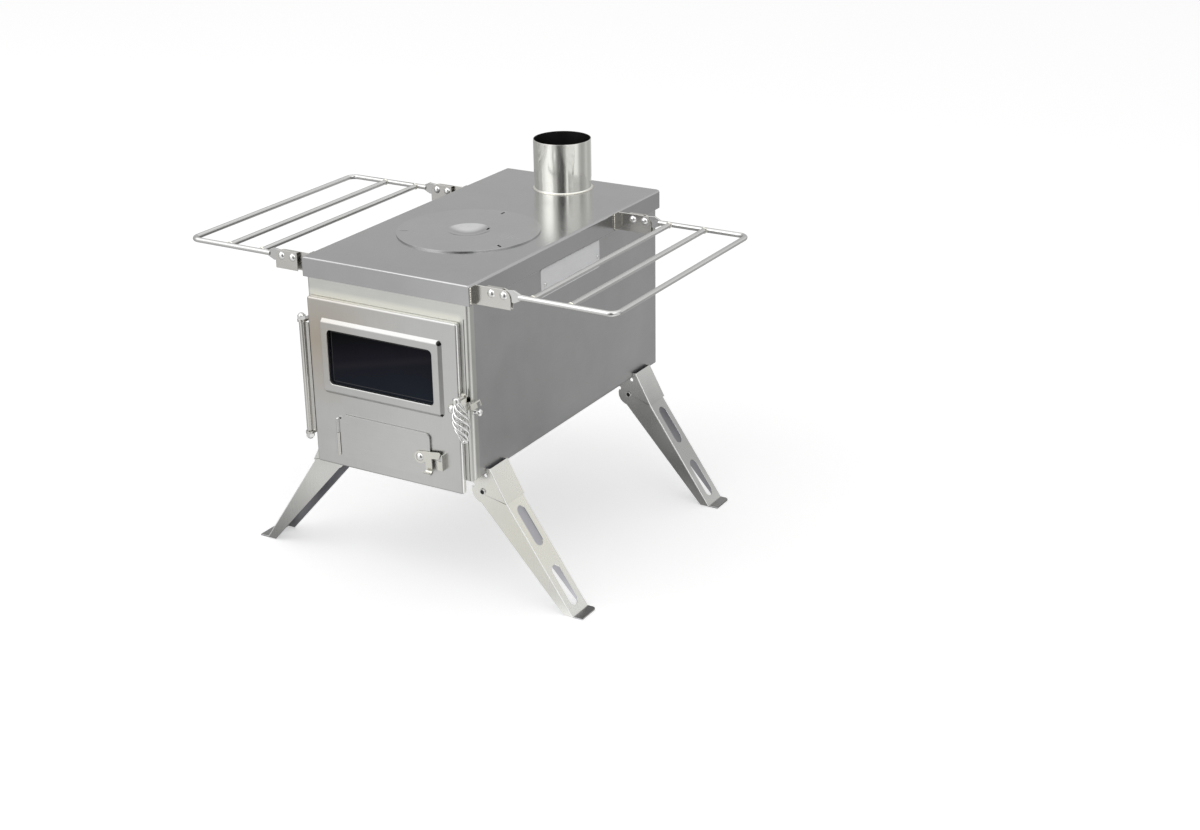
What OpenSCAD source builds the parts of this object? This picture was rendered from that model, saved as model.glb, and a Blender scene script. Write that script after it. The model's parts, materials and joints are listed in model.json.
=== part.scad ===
// Tent wood stove: a folded sheet-steel firebox on four folding legs, with a fire
// door, an ash door, a burner lid, a flue collar, a wire grate and two wire shelves.
// Millimetres. X to the right, the doors face -Y, Z up, the feet stand on Z = 0.

/* [Firebox] */
// Width of the firebox
body_w = 197; // [170:1:260]
// Depth of the firebox, front to back
body_d = 381; // [330:1:480]
// Height from the firebox's bottom to the cooktop
body_h = 208; // [195:1:260]
// Height of the firebox's bottom above the floor
stand_h = 139; // [110:1:200]
// Thickness of the body's sheet steel
sheet = 1.2; // [0.8:0.1:1.6]
// Outside radius of the folded body corners
corner_r = 4; // [2:0.5:8]
// Depth of the end panels' folded returns
end_return = 10; // [8:1:20]
// Strip of front panel left of the fire opening
open_left = 9.5; // [8:0.5:14]
// Strip of front panel right of the fire opening
open_right = 16.5; // [15:0.5:24]
// Strip of front panel below the fire opening
open_sill = 4; // [2:0.5:10]
// Height of the fire opening
open_h = 156; // [130:1:160]

/* [Cooktop] */
// Overhang of the cooktop past each side wall
top_over_x = 3.5; // [2.5:0.5:8]
// Overhang of the cooktop past the front and the back
top_over_y = 1.5; // [1.5:0.5:6]
// Height of the cooktop's folded skirt
skirt_h = 21; // [14:1:30]
// Outside radius of the folds along the cooktop's sides
fold_r = 3; // [2:0.5:5]
// Diameter of the burner lid
lid_d = 152; // [110:1:165]
// Thickness of the burner lid
lid_t = 1.5; // [1:0.1:3]
// How far the lid rests on the edge of the burner hole
lid_lap = 3.4; // [2:0.2:6]
// Distance of the lid's centre from the firebox's front
lid_from_front = 150.5; // [110:1:170]
// Diameter of the dimple in the lid
dimple_d = 46; // [30:1:60]
// Depth of the dimple in the lid
dimple_deep = 6; // [3:0.5:10]
// Length of each centring lug, cut from the lid and bent down
lug_len = 8; // [5:0.5:12]
// Depth of each lug below the lid
lug_drop = 4; // [2:0.5:8]

/* [Flue collar] */
// Outside diameter of the flue collar
collar_d = 65; // [55:0.5:90]
// Wall of the flue collar
collar_wall = 1.2; // [0.8:0.1:2]
// Height of the collar above the cooktop
collar_h = 56.4; // [40:0.2:90]
// Distance of the collar's centre from the firebox's back
collar_from_back = 39.5; // [38:0.5:60]
// How far the collar reaches below the cooktop's underside
collar_tail = 4; // [2:0.5:10]
// Size of the weld round the collar's foot
collar_weld = 1.6; // [1:0.1:3]

/* [Fire grate] */
// Gap between the grate and each end panel
grate_end = 11.3; // [10.4:0.1:20]
// Gap between the grate and each side wall
grate_side = 2.8; // [1.5:0.1:6]
// Diameter of the grate's wire
grate_wire = 3; // [2:0.2:4]
// Number of cells along the grate
cells_long = 12; // [6:1:16]
// Number of cells across the grate
cells_wide = 6; // [3:1:8]
// Height of the grate's rails above the firebox's bottom
rail_z = 48; // [30:1:60]
// Width of the ledge of each rail
rail_w = 16; // [10:1:20]
// Height of each rail
rail_h = 14; // [8:1:20]

/* [Fire door] */
// How far the door's face stands in front of the firebox
door_out = 6.2; // [6:0.1:8]
// Gap between the back edge of the door and the firebox
door_gap = 0.5; // [0.3:0.1:1]
// Distance of the door's left edge from the left wall
door_left = 3; // [2:0.5:6]
// Distance of the door's right edge from the right wall
door_right = 10.5; // [8:0.5:13]
// How far the door hangs below the firebox's bottom
door_drop = 14; // [8:1:20]
// Height of the door
door_h = 182.3; // [170:0.5:186]
// Radius of the door's corners
door_r = 3; // [2:0.5:6]
// Window's left edge from the door's left edge
win_left = 25; // [22:0.5:30]
// Window's bottom edge from the door's bottom edge
win_up = 92; // [88:1:96]
// Window's right edge from the door's right edge
win_right = 29.7; // [28:0.1:40]
// Height of the window
win_h = 58.5; // [40:0.5:62]
// Radius of the window's corners
win_r = 4.5; // [3:0.5:6]
// How far the window frame stands in front of the door
frame_out = 2.8; // [2.2:0.1:4]
// Width of the window frame's flat face
frame_face = 8; // [6:0.5:10]
// Width of the window frame's slope
frame_slope = 3.4; // [2:0.2:5]
// Size of the mitred notch at the frame's right corners
frame_notch = 4.5; // [3:0.5:6]
// Thickness of the glass
glass_t = 2.5; // [2:0.1:2.8]
// Thickness of the gasket between door and glass
gasket_t = 0.6; // [0.4:0.1:0.8]
// How far the glass reaches past the window on each side
glass_lap = 6; // [4:0.5:8]
// Sheet thickness of the glass retainer
retainer_t = 0.8; // [0.6:0.1:0.9]

/* [Fire door hinge] */
// Distance of the hinge rod from the left wall
hinge_side = 5.3; // [4.8:0.1:8]
// Distance of the hinge rod in front of the firebox
hinge_out = 5.5; // [4.5:0.1:7]
// Diameter of the hinge rod
rod_d = 4; // [3:0.2:4.4]
// Outside diameter of the door's hinge barrel
barrel_d = 6.4; // [6:0.1:8]
// Radial play of the barrel on the rod
barrel_play = 0.15; // [0.1:0.05:0.3]
// Height of the lower hinge ear above the firebox's bottom
ear_low = 15.5; // [10:0.5:30]
// Length of the hinge barrel
barrel_l = 120; // [80:1:130]
// Thickness of the hinge ears
ear_t = 3; // [2:0.5:5]
// Outside diameter of the hinge ears
ear_d = 9.2; // [8:0.2:10]
// Gap between barrel and ears
ear_gap = 0.4; // [0.3:0.1:1]
// Width across the flats of the rod's cap nuts
nut_w = 8; // [6:0.5:9]
// Height of the cap nuts
nut_h = 6.5; // [5:0.5:9]

/* [Ash door] */
// Ash hinge from the fire door's left edge
ash_left = 31.5; // [28:0.5:34]
// Bottom of the ash door above the fire door's bottom
ash_up = 12; // [8:0.5:14]
// Ash door's right edge from the fire door's right edge
ash_right = 37; // [35:0.5:46]
// Height of the ash door
ash_h = 48; // [40:0.5:50]
// How far the ash door covers the door round its opening
ash_lap = 7; // [5:0.5:9]
// Depth of the ash door, rim included
ash_deep = 1.8; // [1.6:0.1:2.4]
// Gap between the ash door and the fire door
ash_gap = 0.4; // [0.3:0.1:0.8]
// Radius of the ash door's corners
ash_r = 6; // [3:0.5:8]
// Diameter of the ash hinge's knuckles
knuckle_d = 4; // [3.4:0.1:4.4]
// Diameter of the ash hinge's pin
ash_pin_d = 2; // [1.4:0.1:2.4]
// Radial play of the ash door on its pin
ash_pin_play = 0.1; // [0.05:0.05:0.2]
// Length of the knuckle on the fire door
knuckle_low = 25; // [18:0.5:26]
// Length of the knuckle on the ash door
knuckle_high = 14.5; // [8:0.5:16]
// Gap between the two knuckles
knuckle_gap = 0.3; // [0.2:0.1:0.6]

/* [Ash latch] */
// Latch pivot from the ash door's right edge
ash_piv_in = 12; // [10:0.5:16]
// Latch pivot above the ash door's bottom
ash_piv_up = 21.3; // [19:0.1:24]
// Radius of the lever round its pivot
ash_lever_r = 6.8; // [5:0.1:8]
// Reach of the lever past its pivot
ash_lever_l = 25.5; // [24:0.5:28]
// Width of the lever's nose
ash_nose_w = 7.6; // [6:0.2:9]
// How far the lever's nose rises in its resting pose
ash_nose_up = 1.7; // [1.5:0.1:3]
// Width of the finger tab
tab_w = 8; // [6:0.5:9]
// Radius of the finger tab's curl
tab_r = 3.4; // [2.5:0.1:4]
// Thickness of the latch parts
latch_t = 1.2; // [1:0.1:1.6]
// Play between latch parts that pass each other
latch_play = 0.5; // [0.4:0.1:0.8]
// Diameter of the latch rivets' heads
rivet_head = 9; // [7:0.5:10]
// Height of the rivets' heads
rivet_dome = 2.4; // [1.6:0.1:3]
// Diameter of the latch rivets' shanks
rivet_d = 3.6; // [3:0.1:4.4]
// Height of the keeper's upright
keeper_h = 17; // [14:0.5:18]
// Height of the keeper's hook
keeper_hook_h = 10; // [8:0.5:11]
// Length of the keeper's hook
keeper_hook_l = 6.4; // [5:0.2:7]

/* [Fire door latch] */
// Latch pivot from the fire door's right edge
piv_in = 8.5; // [7:0.5:12]
// Latch pivot above the firebox's bottom
piv_z = 78; // [70:1:90]
// Resting angle of the latch lever above the level
latch_rise = 20; // [18:1:24]
// Thickness of the latch lever
lever_t = 1.5; // [1.2:0.1:2]
// Width of the latch lever
lever_w = 8; // [7:0.5:9]
// Gap between the firebox's side and the lever's nose
nose_gap = 4; // [3.6:0.1:5]
// Height of the nose's legs astride the stud
nose_leg = 4.7; // [3.5:0.1:5]
// Height of the nose above its notch
nose_back = 2; // [1.5:0.1:2.4]
// Diameter of the stud's neck
stud_d = 4; // [3:0.1:4.4]
// Diameter of the stud's head
stud_head = 7.6; // [7:0.1:8.8]
// Distance of the stud behind the firebox's front
stud_in = 5; // [4.5:0.5:9]
// Radial play of the notch round the stud
stud_play = 0.7; // [0.4:0.1:1]
// Width of the hole in the front panel behind the lever
slot_w = 6; // [4:0.5:6.5]
// Distance of the hole's right edge from the side wall
slot_side = 2; // [2:0.1:3]
// Height of the hole in the front panel
slot_h = 7; // [5:0.5:9]
// Height of the hole above the latch pivot
slot_up = 6.5; // [5:0.5:12]

/* [Twisted handle] */
// Diameter of each strand
strand_d = 2.4; // [1.8:0.1:2.6]
// Number of strands
strands = 6; // [4:1:6]
// Radius of the basket at its middle, to the strands' centres
basket_r = 8; // [7:0.1:9.6]
// Radius of the basket at its ends, to the strands' centres
basket_end_r = 2.7; // [2.7:0.1:3]
// Length of the basket
basket_l = 40; // [36:0.5:54]
// Turns of each strand along the basket
basket_turns = 0.9; // [0.5:0.05:1.2]
// Distance of the basket's axis in front of the firebox
basket_out = 20.2; // [18.8:0.1:24]
// Lean of the basket from upright
basket_lean = 11; // [0:1:20]
// Side reach of the handle's pin from the latch pivot
pin_side = 15; // [12:0.5:17]
// Height of the handle's pin above the latch pivot
pin_up = 16.5; // [14:0.5:22]
// Diameter of the handle's pin
pin_d = 4.2; // [3.4:0.1:4.4]

/* [Legs] */
// Lean of each leg from upright
leg_lean = 34.6; // [20:0.2:40]
// Width of the right legs, over both flanges
leg_w = 31; // [24:0.5:40]
// Sheet thickness of the legs
leg_t = 1.5; // [1.2:0.1:2]
// Loss of flange depth over each millimetre of leg
leg_taper = 0.135; // [0.1:0.005:0.14]
// Height of the leg pin below the firebox's bottom
leg_pin_z = 19.3; // [18:0.1:24]
// Distance of the leg pin in from the side wall
leg_pin_in = 4.7; // [2:0.1:12]
// Distance from the pin to the leg's outer face
leg_web_out = 17.5; // [16:0.1:17.8]
// Length of the leg above its pin
leg_head = 6.5; // [4:0.5:7]
// Radius of the legs' heads round the pin
leg_head_r = 12; // [9:0.1:12.4]
// Distance from the pin to the first of the two slots
leg_slot_from = 31; // [28:1:40]
// Solid length between the two slots
leg_slot_gap = 24; // [14:1:30]
// Solid length between the second slot and the floor
leg_slot_end = 10; // [8:1:16]
// Width of the slots in the leg's face
leg_slot_w = 13; // [8:0.5:16]
// Length of the foot's turned-out tab
foot_tab = 10; // [6:0.5:14]
// Distance of the front legs' middle behind the firebox's front
leg_front = 37; // [28:1:60]
// Distance of the back legs' middle from the firebox's back
leg_back = 42; // [28:1:80]
// Play between nested legs, and between leg and sleeve
leg_play = 0.3; // [0.2:0.05:0.5]

/* [Leg sleeves] */
// Sheet thickness of the sleeves
sleeve_t = 1.2; // [1:0.1:2]
// Lean of the sleeve's outer wall from upright
sleeve_lean = 28.6; // [20:0.2:30]
// Distance from the pin to the sleeve's lower edge, along the leg
sleeve_reach = 22.7; // [20:0.1:28]
// Height of the sleeve's outer wall above the firebox's bottom
sleeve_up = 6.9; // [4:0.1:10]
// Radius of the sleeve's ears round the pin
sleeve_ear_r = 13.2; // [10:0.1:14]
// Radius of the relief cuts at the sleeve's bends
sleeve_relief = 2; // [1:0.1:2.4]
// Diameter of the leg pins
leg_pin_d = 4.4; // [3.6:0.1:5]
// Diameter of the hole through the leg pins
leg_pin_bore = 2.4; // [1.6:0.1:3]
// Diameter of the leg pins' heads
leg_pin_head = 6.8; // [6:0.1:8]
// Radial play of the legs on their pins
leg_pin_play = 0.1; // [0.05:0.05:0.3]

/* [Side shelves] */
// Distance of the shelves' front arms behind the firebox's front
shelf_front = 10.2; // [9:0.2:30]
// Distance between the two arms of a shelf
shelf_arms = 279; // [220:1:290]
// Height of the shelves' pivots below the cooktop
shelf_drop = 7; // [6.6:0.2:9]
// Diameter of the shelves' wire
shelf_wire = 5.5; // [4:0.1:6]
// Distance of the outer rail from the side wall
rail_out = 158.5; // [120:0.5:200]
// Distance of the middle rail from the side wall
rail_mid = 108.5; // [90:0.5:112]
// Distance of the inner rail from the side wall
rail_in = 66.5; // [62:0.5:80]
// Bend radius of the shelf's corners, to the wire's centre
shelf_bend = 9; // [6:0.5:16]
// Thickness of the flattened ends of the arms
paddle_t = 2.6; // [2:0.1:3]
// Length of the flattened end outside the pivot
paddle_l = 19; // [18:0.5:24]
// Height of the flattened end at its widest
paddle_h = 13; // [10:0.5:14]
// Radius of the flattened end round the pivot
paddle_r = 5.2; // [4:0.1:5.4]

/* [Shelf brackets] */
// Distance of the shelf pivots from the side wall
pivot_side = 36.5; // [32:0.5:44]
// Distance between a bracket's two rivets
rivet_pitch = 14; // [12:0.5:18]
// Length of the bracket past the shelf's pivot
bracket_past = 8; // [7:0.5:10]
// Height of the bracket
bracket_h = 20; // [17:0.5:22]
// Radius of the bracket's outer corner
bracket_r = 10; // [6:0.5:12]
// Width of the flange on the skirt
flange_w = 9; // [7.8:0.2:9]
// How far the bracket's bridge stops inside the pivot
bridge_in = 2; // [1:0.5:5]
// Play beside the flattened end in its bracket
paddle_play = 0.2; // [0.15:0.05:0.4]
// Diameter of the bracket rivets' heads
shelf_head = 8.4; // [7:0.2:9]

/* [Hidden] */
$fn = 48;

// Small overlap that lets two cuts or two fused shapes run into each other
eps = 0.02;

// Planes of the firebox
side_x = body_w / 2;
front_reach = basket_out + basket_r + strand_d / 2;
front_y = (front_reach - body_d - top_over_y) / 2;
back_y = front_y + body_d;
floor_z = stand_h;
top_z = stand_h + body_h;
wall_h = body_h - sheet;

// Fire grate, between the middles of its outer wires
grate_l = body_d - 2 * (sheet + grate_end) - grate_wire;
grate_w = body_w - 2 * (sheet + grate_side) - grate_wire;

// Planes and edges of the fire door
door_y = front_y - door_out;
door_x0 = -side_x + door_left;
door_x1 = side_x - door_right;
door_z0 = floor_z - door_drop;
door_z1 = door_z0 + door_h;
door_deep = door_out - door_gap;
win_x0 = door_x0 + win_left;
win_x1 = door_x1 - win_right;
win_z0 = door_z0 + win_up;
win_z1 = win_z0 + win_h;
gasket_y = door_y + sheet;
glass_y = gasket_y + gasket_t;
glass_play = 0.4;
gasket_in = 0.5;
retainer_in = 2;
retainer_wall = glass_lap + glass_play + retainer_t;
retainer_flange = 5;

// Axis of the fire door's hinge
hinge_x = -side_x - hinge_side;
hinge_y = front_y - hinge_out;
barrel_z = floor_z + ear_low + ear_t + ear_gap;
ear_top_z = barrel_z + barrel_l + ear_gap;
nut_grip = 4;
leaf_play = 0.5;

// Planes and axis of the ash door
ash_back_y = door_y - ash_gap;
ash_y = ash_back_y - ash_deep;
ash_x = door_x0 + ash_left;
ash_x1 = door_x1 - ash_right;
ash_z0 = door_z0 + ash_up;
ash_z1 = ash_z0 + ash_h;
ash_pin_y = door_y - ash_gap / 2 - knuckle_d / 2;
ash_edge = knuckle_d / 2 + 2 * knuckle_gap;
ash_open_x0 = ash_x + ash_edge + ash_lap / 2;
knuckle_z = ash_z0 + 2.5;
knuckle_top = knuckle_z + knuckle_low + knuckle_gap;
pin_rise = 0.6;

// Radial play of the levers on their rivets
lever_play = 0.1;

// Ash latch
ash_piv_x = ash_x1 - ash_piv_in;
ash_piv_z = ash_z0 + ash_piv_up;
ash_lever_y = ash_y - latch_play - latch_t;
keeper_x = ash_piv_x + norm([ash_lever_l, ash_nose_up + ash_nose_w]) + latch_play;
keeper_y = ash_lever_y - latch_play - latch_t;
keeper_z = ash_piv_z + ash_nose_up - keeper_hook_h - 2 * latch_play;
back_head = 6.4;
back_head_t = 0.9;

// Fire door latch
piv_x = door_x1 - piv_in;
piv_h = floor_z + piv_z;
lever_y = door_y - latch_play - lever_t;
nose_u = side_x + nose_gap - piv_x;
notch_top = stud_play + stud_d / 2;
notch_v = -0.8;
stud_z = piv_h + notch_v - latch_play / 2 - stud_d / 2;
stud_y = front_y + stud_in;
stud_slack = 0.8;
stud_neck = nose_gap + lever_t + stud_slack;
pin_x = piv_x + pin_side;
pin_z = piv_h + pin_up;
basket_y = front_y - basket_out;
cap_r = basket_end_r + strand_d / 2;
cap_h = pin_d + 2.4;

// Legs
leg_long = (stand_h - leg_pin_z + leg_web_out * sin(leg_lean)) / cos(leg_lean);
leg_pin_x = side_x - leg_pin_in;
leg_pin_h = floor_z - leg_pin_z;
leg_w_left = leg_w + 2 * (leg_play + leg_t);
leg_ys = [front_y + leg_front, back_y - leg_back];
leg_deep = leg_web_out + leg_head_r;
leg_slot_l = (leg_long - leg_slot_from - leg_slot_gap - leg_slot_end) / 2;
leg_stop_play = 0.1;

// Shelves and their brackets
shelf_z = top_z - shelf_drop;
pivot_x = side_x + pivot_side;
shelf_ys = [front_y + shelf_front, front_y + shelf_front + shelf_arms];
bracket_gap = paddle_t + 2 * paddle_play;
skirt_x = side_x + top_over_x;
bracket_top = shelf_drop - 0.8;

steel = "#b4b4b2";
steel_dark = "#8e8e8c";
steel_light = "#c9c8c3";
steel_bright = "#d9d9d6";
glass_colour = "#12141a";

// ---------- shared shapes ----------

// Sheet in the XZ plane: its outline in X and Z, from y to y + t
module xz(y, t) translate([0, y + t, 0]) rotate([90, 0, 0]) linear_extrude(t) children();

// Sheet in the YZ plane: its outline in Y and Z, from x to x + t
module yz(x, t) translate([x, 0, 0]) rotate([90, 0, 90]) linear_extrude(t) children();

// Rectangle with round corners, between two opposite corners
module rect_round(x0, y0, x1, y1, r) {
    translate([x0 + r, y0]) square([x1 - x0 - 2 * r, y1 - y0]);
    translate([x0, y0 + r]) square([x1 - x0, y1 - y0 - 2 * r]);
    for (x = [x0 + r, x1 - r], y = [y0 + r, y1 - r]) translate([x, y]) circle(r);
}

// Upright rectangle on the X axis with only its lower corners round
module tub(w, h, r) {
    translate([-w / 2, r]) square([w, h - r]);
    translate([-w / 2 + r, 0]) square([w - 2 * r, r + eps]);
    for (s = [-1, 1]) translate([s * (w / 2 - r), r]) circle(r);
}

// Strap between two points of the plane, with round ends
module strap(p, q, w) {
    l = norm(q - p);
    translate(p) rotate(atan2(q[1] - p[1], q[0] - p[0])) translate([0, -w / 2]) square([l, w]);
    for (c = [p, q]) translate(c) circle(d = w);
}

// Round bar between two points
module bar(p, q, d) {
    v = q - p;
    translate(p)
        rotate([0, acos(v[2] / norm(v)), atan2(v[1], v[0])])
            cylinder(h = norm(v), d = d);
}

// Domed rivet head on the plane z = 0
module dome(d, h) {
    r = (d * d / 4 + h * h) / (2 * h);
    intersection() {
        translate([0, 0, h - r]) sphere(r, $fn = 64);
        cylinder(h = 2 * h, d = 2 * d);
    }
}

// ---------- firebox ----------

// End panel with round vertical corners and returns, its face on y = 0
module end_panel(w, r, inset) {
    intersection() {
        xz(0, end_return) translate([0, inset]) tub(w, wall_h - inset + eps, r);
        linear_extrude(2 * body_h) {
            translate([-w / 2, r]) square([w, end_return]);
            translate([-w / 2 + r, 0]) square([w - 2 * r, end_return]);
            for (s = [-1, 1]) translate([s * (w / 2 - r), r]) circle(r);
        }
    }
}

module folded_panel() {
    intersection() {
        difference() {
            end_panel(body_w, corner_r, 0);
            translate([0, sheet, 0]) end_panel(body_w - 2 * sheet, corner_r - sheet, sheet);
        }
        linear_extrude(wall_h) square(2 * body_w, center = true);
    }
}

module firebox_shell() color(steel_dark) translate([0, 0, floor_z]) {
    xz(front_y + end_return, body_d - 2 * end_return) {
        intersection() {
            difference() {
                tub(body_w, body_h, corner_r);
                translate([0, sheet]) tub(body_w - 2 * sheet, body_h, corner_r - sheet);
            }
            translate([-body_w, 0]) square([2 * body_w, wall_h]);
        }
    }
}

module front_panel() color(steel) difference() {
    translate([0, front_y, floor_z]) folded_panel();
    translate([-side_x + open_left, front_y - eps, floor_z + open_sill])
        cube([body_w - open_left - open_right, 2 * sheet, open_h]);
    translate([side_x - slot_side - slot_w, front_y - eps, piv_h + slot_up])
        cube([slot_w, 2 * sheet, slot_h]);
}

module back_panel() color(steel_dark)
    translate([0, back_y, floor_z]) mirror([0, 1, 0]) folded_panel();

// Cover with round folds along its sides and tighter ones in front and behind, open below
module cover(w, d, h, side_r, front_r) {
    translate([0, 0, h]) mirror([0, 0, 1]) intersection() {
        xz(-d / 2, d) tub(w, h, side_r);
        yz(-w / 2, w) tub(d, h, front_r);
    }
}

module cooktop() color(steel) difference() {
    translate([0, (front_y + back_y) / 2, top_z - skirt_h]) difference() {
        cover(body_w + 2 * top_over_x, body_d + 2 * top_over_y, skirt_h, fold_r, top_over_y);
        translate([0, 0, -eps])
            cover(body_w + 2 * (top_over_x - sheet), body_d + 2 * (top_over_y - sheet),
                skirt_h - sheet + eps, fold_r - sheet, top_over_y - sheet);
    }
    translate([0, front_y + lid_from_front, top_z - 2 * sheet])
        cylinder(h = 3 * sheet, r = lid_d / 2 - lid_lap);
    translate([0, back_y - collar_from_back, top_z - 2 * sheet])
        cylinder(h = 3 * sheet, d = collar_d, $fn = 96);
}

module burner_lid() color(steel) translate([0, front_y + lid_from_front, top_z + lid_t]) {
    a = dimple_d / 2;
    ball = (a * a + dimple_deep * dimple_deep) / (2 * dimple_deep);
    reach = asin(a / ball);
    steps = 8;
    dish = [for (i = [0:steps])
        let (t = reach * i / steps)
        [ball * sin(t), ball - dimple_deep - ball * cos(t)]];
    lug_out = lid_d / 2 - lid_lap - latch_play;
    hook_r = 2;
    difference() {
        rotate_extrude($fn = 96) polygon(concat(
            dish,
            [[lid_d / 2, 0], [lid_d / 2, -lid_t]],
            [for (i = [steps:-1:0]) dish[i] - [0, lid_t]]));
        for (turn = [90, 210, 330]) rotate(turn)
            translate([lug_out - lug_len, 0, -2 * lid_t]) cube([lug_len, 1.3 * lid_t, 3 * lid_t]);
        rotate(45) translate([dimple_d / 2 - hook_r, 0, -dimple_deep])
            cylinder(h = 2 * dimple_deep, r = hook_r);
    }
    for (turn = [90, 210, 330]) rotate(turn)
        translate([lug_out - lug_len, -lid_t, -lid_t - lug_drop])
            cube([lug_len, lid_t, lug_drop + lid_t / 2]);
}

module flue_collar() color(steel_bright) translate([0, back_y - collar_from_back, top_z]) {
    outer = collar_d / 2;
    inner = outer - collar_wall;
    low = -sheet - collar_tail;
    rotate_extrude($fn = 96) polygon([
        [inner, low], [outer, low], [outer, 0], [outer + collar_weld, 0],
        [outer, collar_weld], [outer, collar_h], [inner, collar_h]]);
}

// ---------- grate ----------

module grate_rail(side) color(steel_dark) {
    wall = side_x - sheet;
    long = body_d - 2 * end_return;
    mirror([side < 0 ? 1 : 0, 0, 0]) translate([0, 0, floor_z + rail_z - rail_h])
        xz(front_y + end_return, long) {
            translate([wall - sheet, 0]) square([sheet, rail_h]);
            translate([wall - rail_w, rail_h - sheet]) square([rail_w, sheet]);
        }
}

module fire_grate() color(steel_light)
    translate([0, (front_y + back_y) / 2, floor_z + rail_z + grate_wire / 2]) {
        for (i = [0:cells_wide]) let (x = grate_w * (i / cells_wide - 0.5))
            bar([x, -grate_l / 2, 0], [x, grate_l / 2, 0], grate_wire);
        for (i = [0:cells_long]) let (y = grate_l * (i / cells_long - 0.5))
            bar([-grate_w / 2 - grate_wire / 2, y, 0.8 * grate_wire],
                [grate_w / 2 + grate_wire / 2, y, 0.8 * grate_wire], grate_wire);
    }

// ---------- fire door ----------

module win_outline(grow) rect_round(win_x0 - grow, win_z0 - grow, win_x1 + grow, win_z1 + grow,
    win_r + max(grow, 0) / 2);

module fire_door() color(steel) difference() {
    xz(door_y, door_deep) rect_round(door_x0, door_z0, door_x1, door_z1, door_r);
    xz(door_y + sheet, door_deep) rect_round(door_x0 + sheet, door_z0 + sheet, door_x1 - sheet,
        door_z1 - sheet, door_r - sheet);
    xz(door_y - eps, 2 * sheet) win_outline(0);
    xz(door_y - eps, 2 * sheet)
        rect_round(ash_open_x0, ash_z0 + ash_lap, ash_x1 - ash_lap, ash_z1 - ash_lap, door_r);
    translate([piv_x, door_y - eps, piv_h]) rotate([-90, 0, 0]) cylinder(h = 2 * sheet, d = rivet_d);
}

// Raised window frame: flat face, slopes above, below and to the right
module frame_hull(grow) {
    face_y = door_y - frame_out - grow;
    face = frame_face + grow;
    foot = face + frame_slope;
    r = 2;
    hull() {
        xz(face_y, eps)
            rect_round(win_x0 - face, win_z0 - face, win_x1 + face, win_z1 + face, r, $fn = 32);
        xz(door_y - eps, eps)
            rect_round(win_x0 - face, win_z0 - foot, win_x1 + foot, win_z1 + foot, r, $fn = 32);
    }
}

module window_frame() color(steel_light) difference() {
    frame_hull(0);
    difference() {
        frame_hull(-sheet);
        xz(door_y - 2 * frame_out, 3 * frame_out) win_outline(sheet);
    }
    xz(door_y - 2 * frame_out, 3 * frame_out) win_outline(0);
    for (z = [win_z0 - frame_face - frame_slope, win_z1 + frame_face + frame_slope])
        translate([win_x1 + frame_face + frame_slope, door_y - frame_out, z]) rotate([0, 45, 0])
            cube([frame_notch, 3 * frame_out, frame_notch], center = true);
}

module window_gasket() color("#3a3a38") xz(gasket_y, gasket_t) difference() {
    win_outline(glass_lap);
    win_outline(gasket_in);
}

module window_glass() color(glass_colour) xz(glass_y, glass_t) win_outline(glass_lap);

module glass_retainer() color(steel_dark) {
    pocket = glass_lap + glass_play;
    difference() {
        union() {
            xz(gasket_y, gasket_t + glass_t + retainer_t) win_outline(retainer_wall);
            xz(gasket_y, retainer_t) win_outline(retainer_wall + retainer_flange);
        }
        xz(gasket_y - eps, gasket_t + glass_t + eps) win_outline(pocket);
        xz(gasket_y, door_deep) win_outline(retainer_in);
    }
}

module door_barrel() color(steel_light) {
    leaf_x = hinge_x + rod_d / 2 + barrel_play;
    difference() {
        union() {
            translate([hinge_x, hinge_y, barrel_z]) cylinder(h = barrel_l, d = barrel_d);
            translate([leaf_x, hinge_y + leaf_play, barrel_z]) cube([door_x0 - leaf_x, sheet, barrel_l]);
            translate([door_x0 - sheet, door_y + leaf_play, barrel_z])
                cube([sheet, door_deep - 2 * leaf_play, barrel_l]);
        }
        translate([hinge_x, hinge_y, barrel_z - eps])
            cylinder(h = barrel_l + 2 * eps, r = rod_d / 2 + barrel_play);
    }
}

module hinge_ear(z) color(steel_light) difference() {
    wall = -side_x;
    plate_y = front_y + corner_r + 0.5;
    plate_l = 12;
    plate_h = 14;
    union() {
        translate([0, 0, z]) linear_extrude(ear_t) {
            translate([hinge_x, hinge_y]) circle(d = ear_d);
            polygon([
                [hinge_x - 0.35 * ear_d, hinge_y + 0.3 * ear_d], [wall - 0.8, hinge_y + 1.5],
                [wall, plate_y], [wall, plate_y + plate_l], [wall - sheet, plate_y + plate_l]]);
        }
        translate([wall - sheet, plate_y, z + ear_t / 2 - plate_h / 2]) cube([sheet, plate_l, plate_h]);
    }
    translate([hinge_x, hinge_y, z - eps]) cylinder(h = ear_t + 2 * eps, d = rod_d);
}

module hinge_ear_upper() hinge_ear(ear_top_z);
module hinge_ear_lower() hinge_ear(floor_z + ear_low);

module hinge_rod() color(steel_bright)
    translate([hinge_x, hinge_y, floor_z + ear_low - nut_grip])
        cylinder(h = ear_top_z + ear_t - floor_z - ear_low + 2 * nut_grip, d = rod_d);

// Cap nut standing on z = 0, with a blind hole for the rod's end
module cap_nut() difference() {
    union() {
        cylinder(h = 0.55 * nut_h, d = nut_w / cos(30), $fn = 6);
        cylinder(h = 0.6 * nut_h, d = 0.92 * nut_w);
        translate([0, 0, 0.6 * nut_h]) dome(0.92 * nut_w, 0.4 * nut_h);
    }
    translate([0, 0, -eps]) cylinder(h = nut_grip + eps, d = rod_d);
}

module hinge_nuts() color(steel_bright) {
    translate([hinge_x, hinge_y, ear_top_z + ear_t]) cap_nut();
    translate([hinge_x, hinge_y, floor_z + ear_low]) mirror([0, 0, 1]) cap_nut();
}

// ---------- ash door ----------

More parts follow.
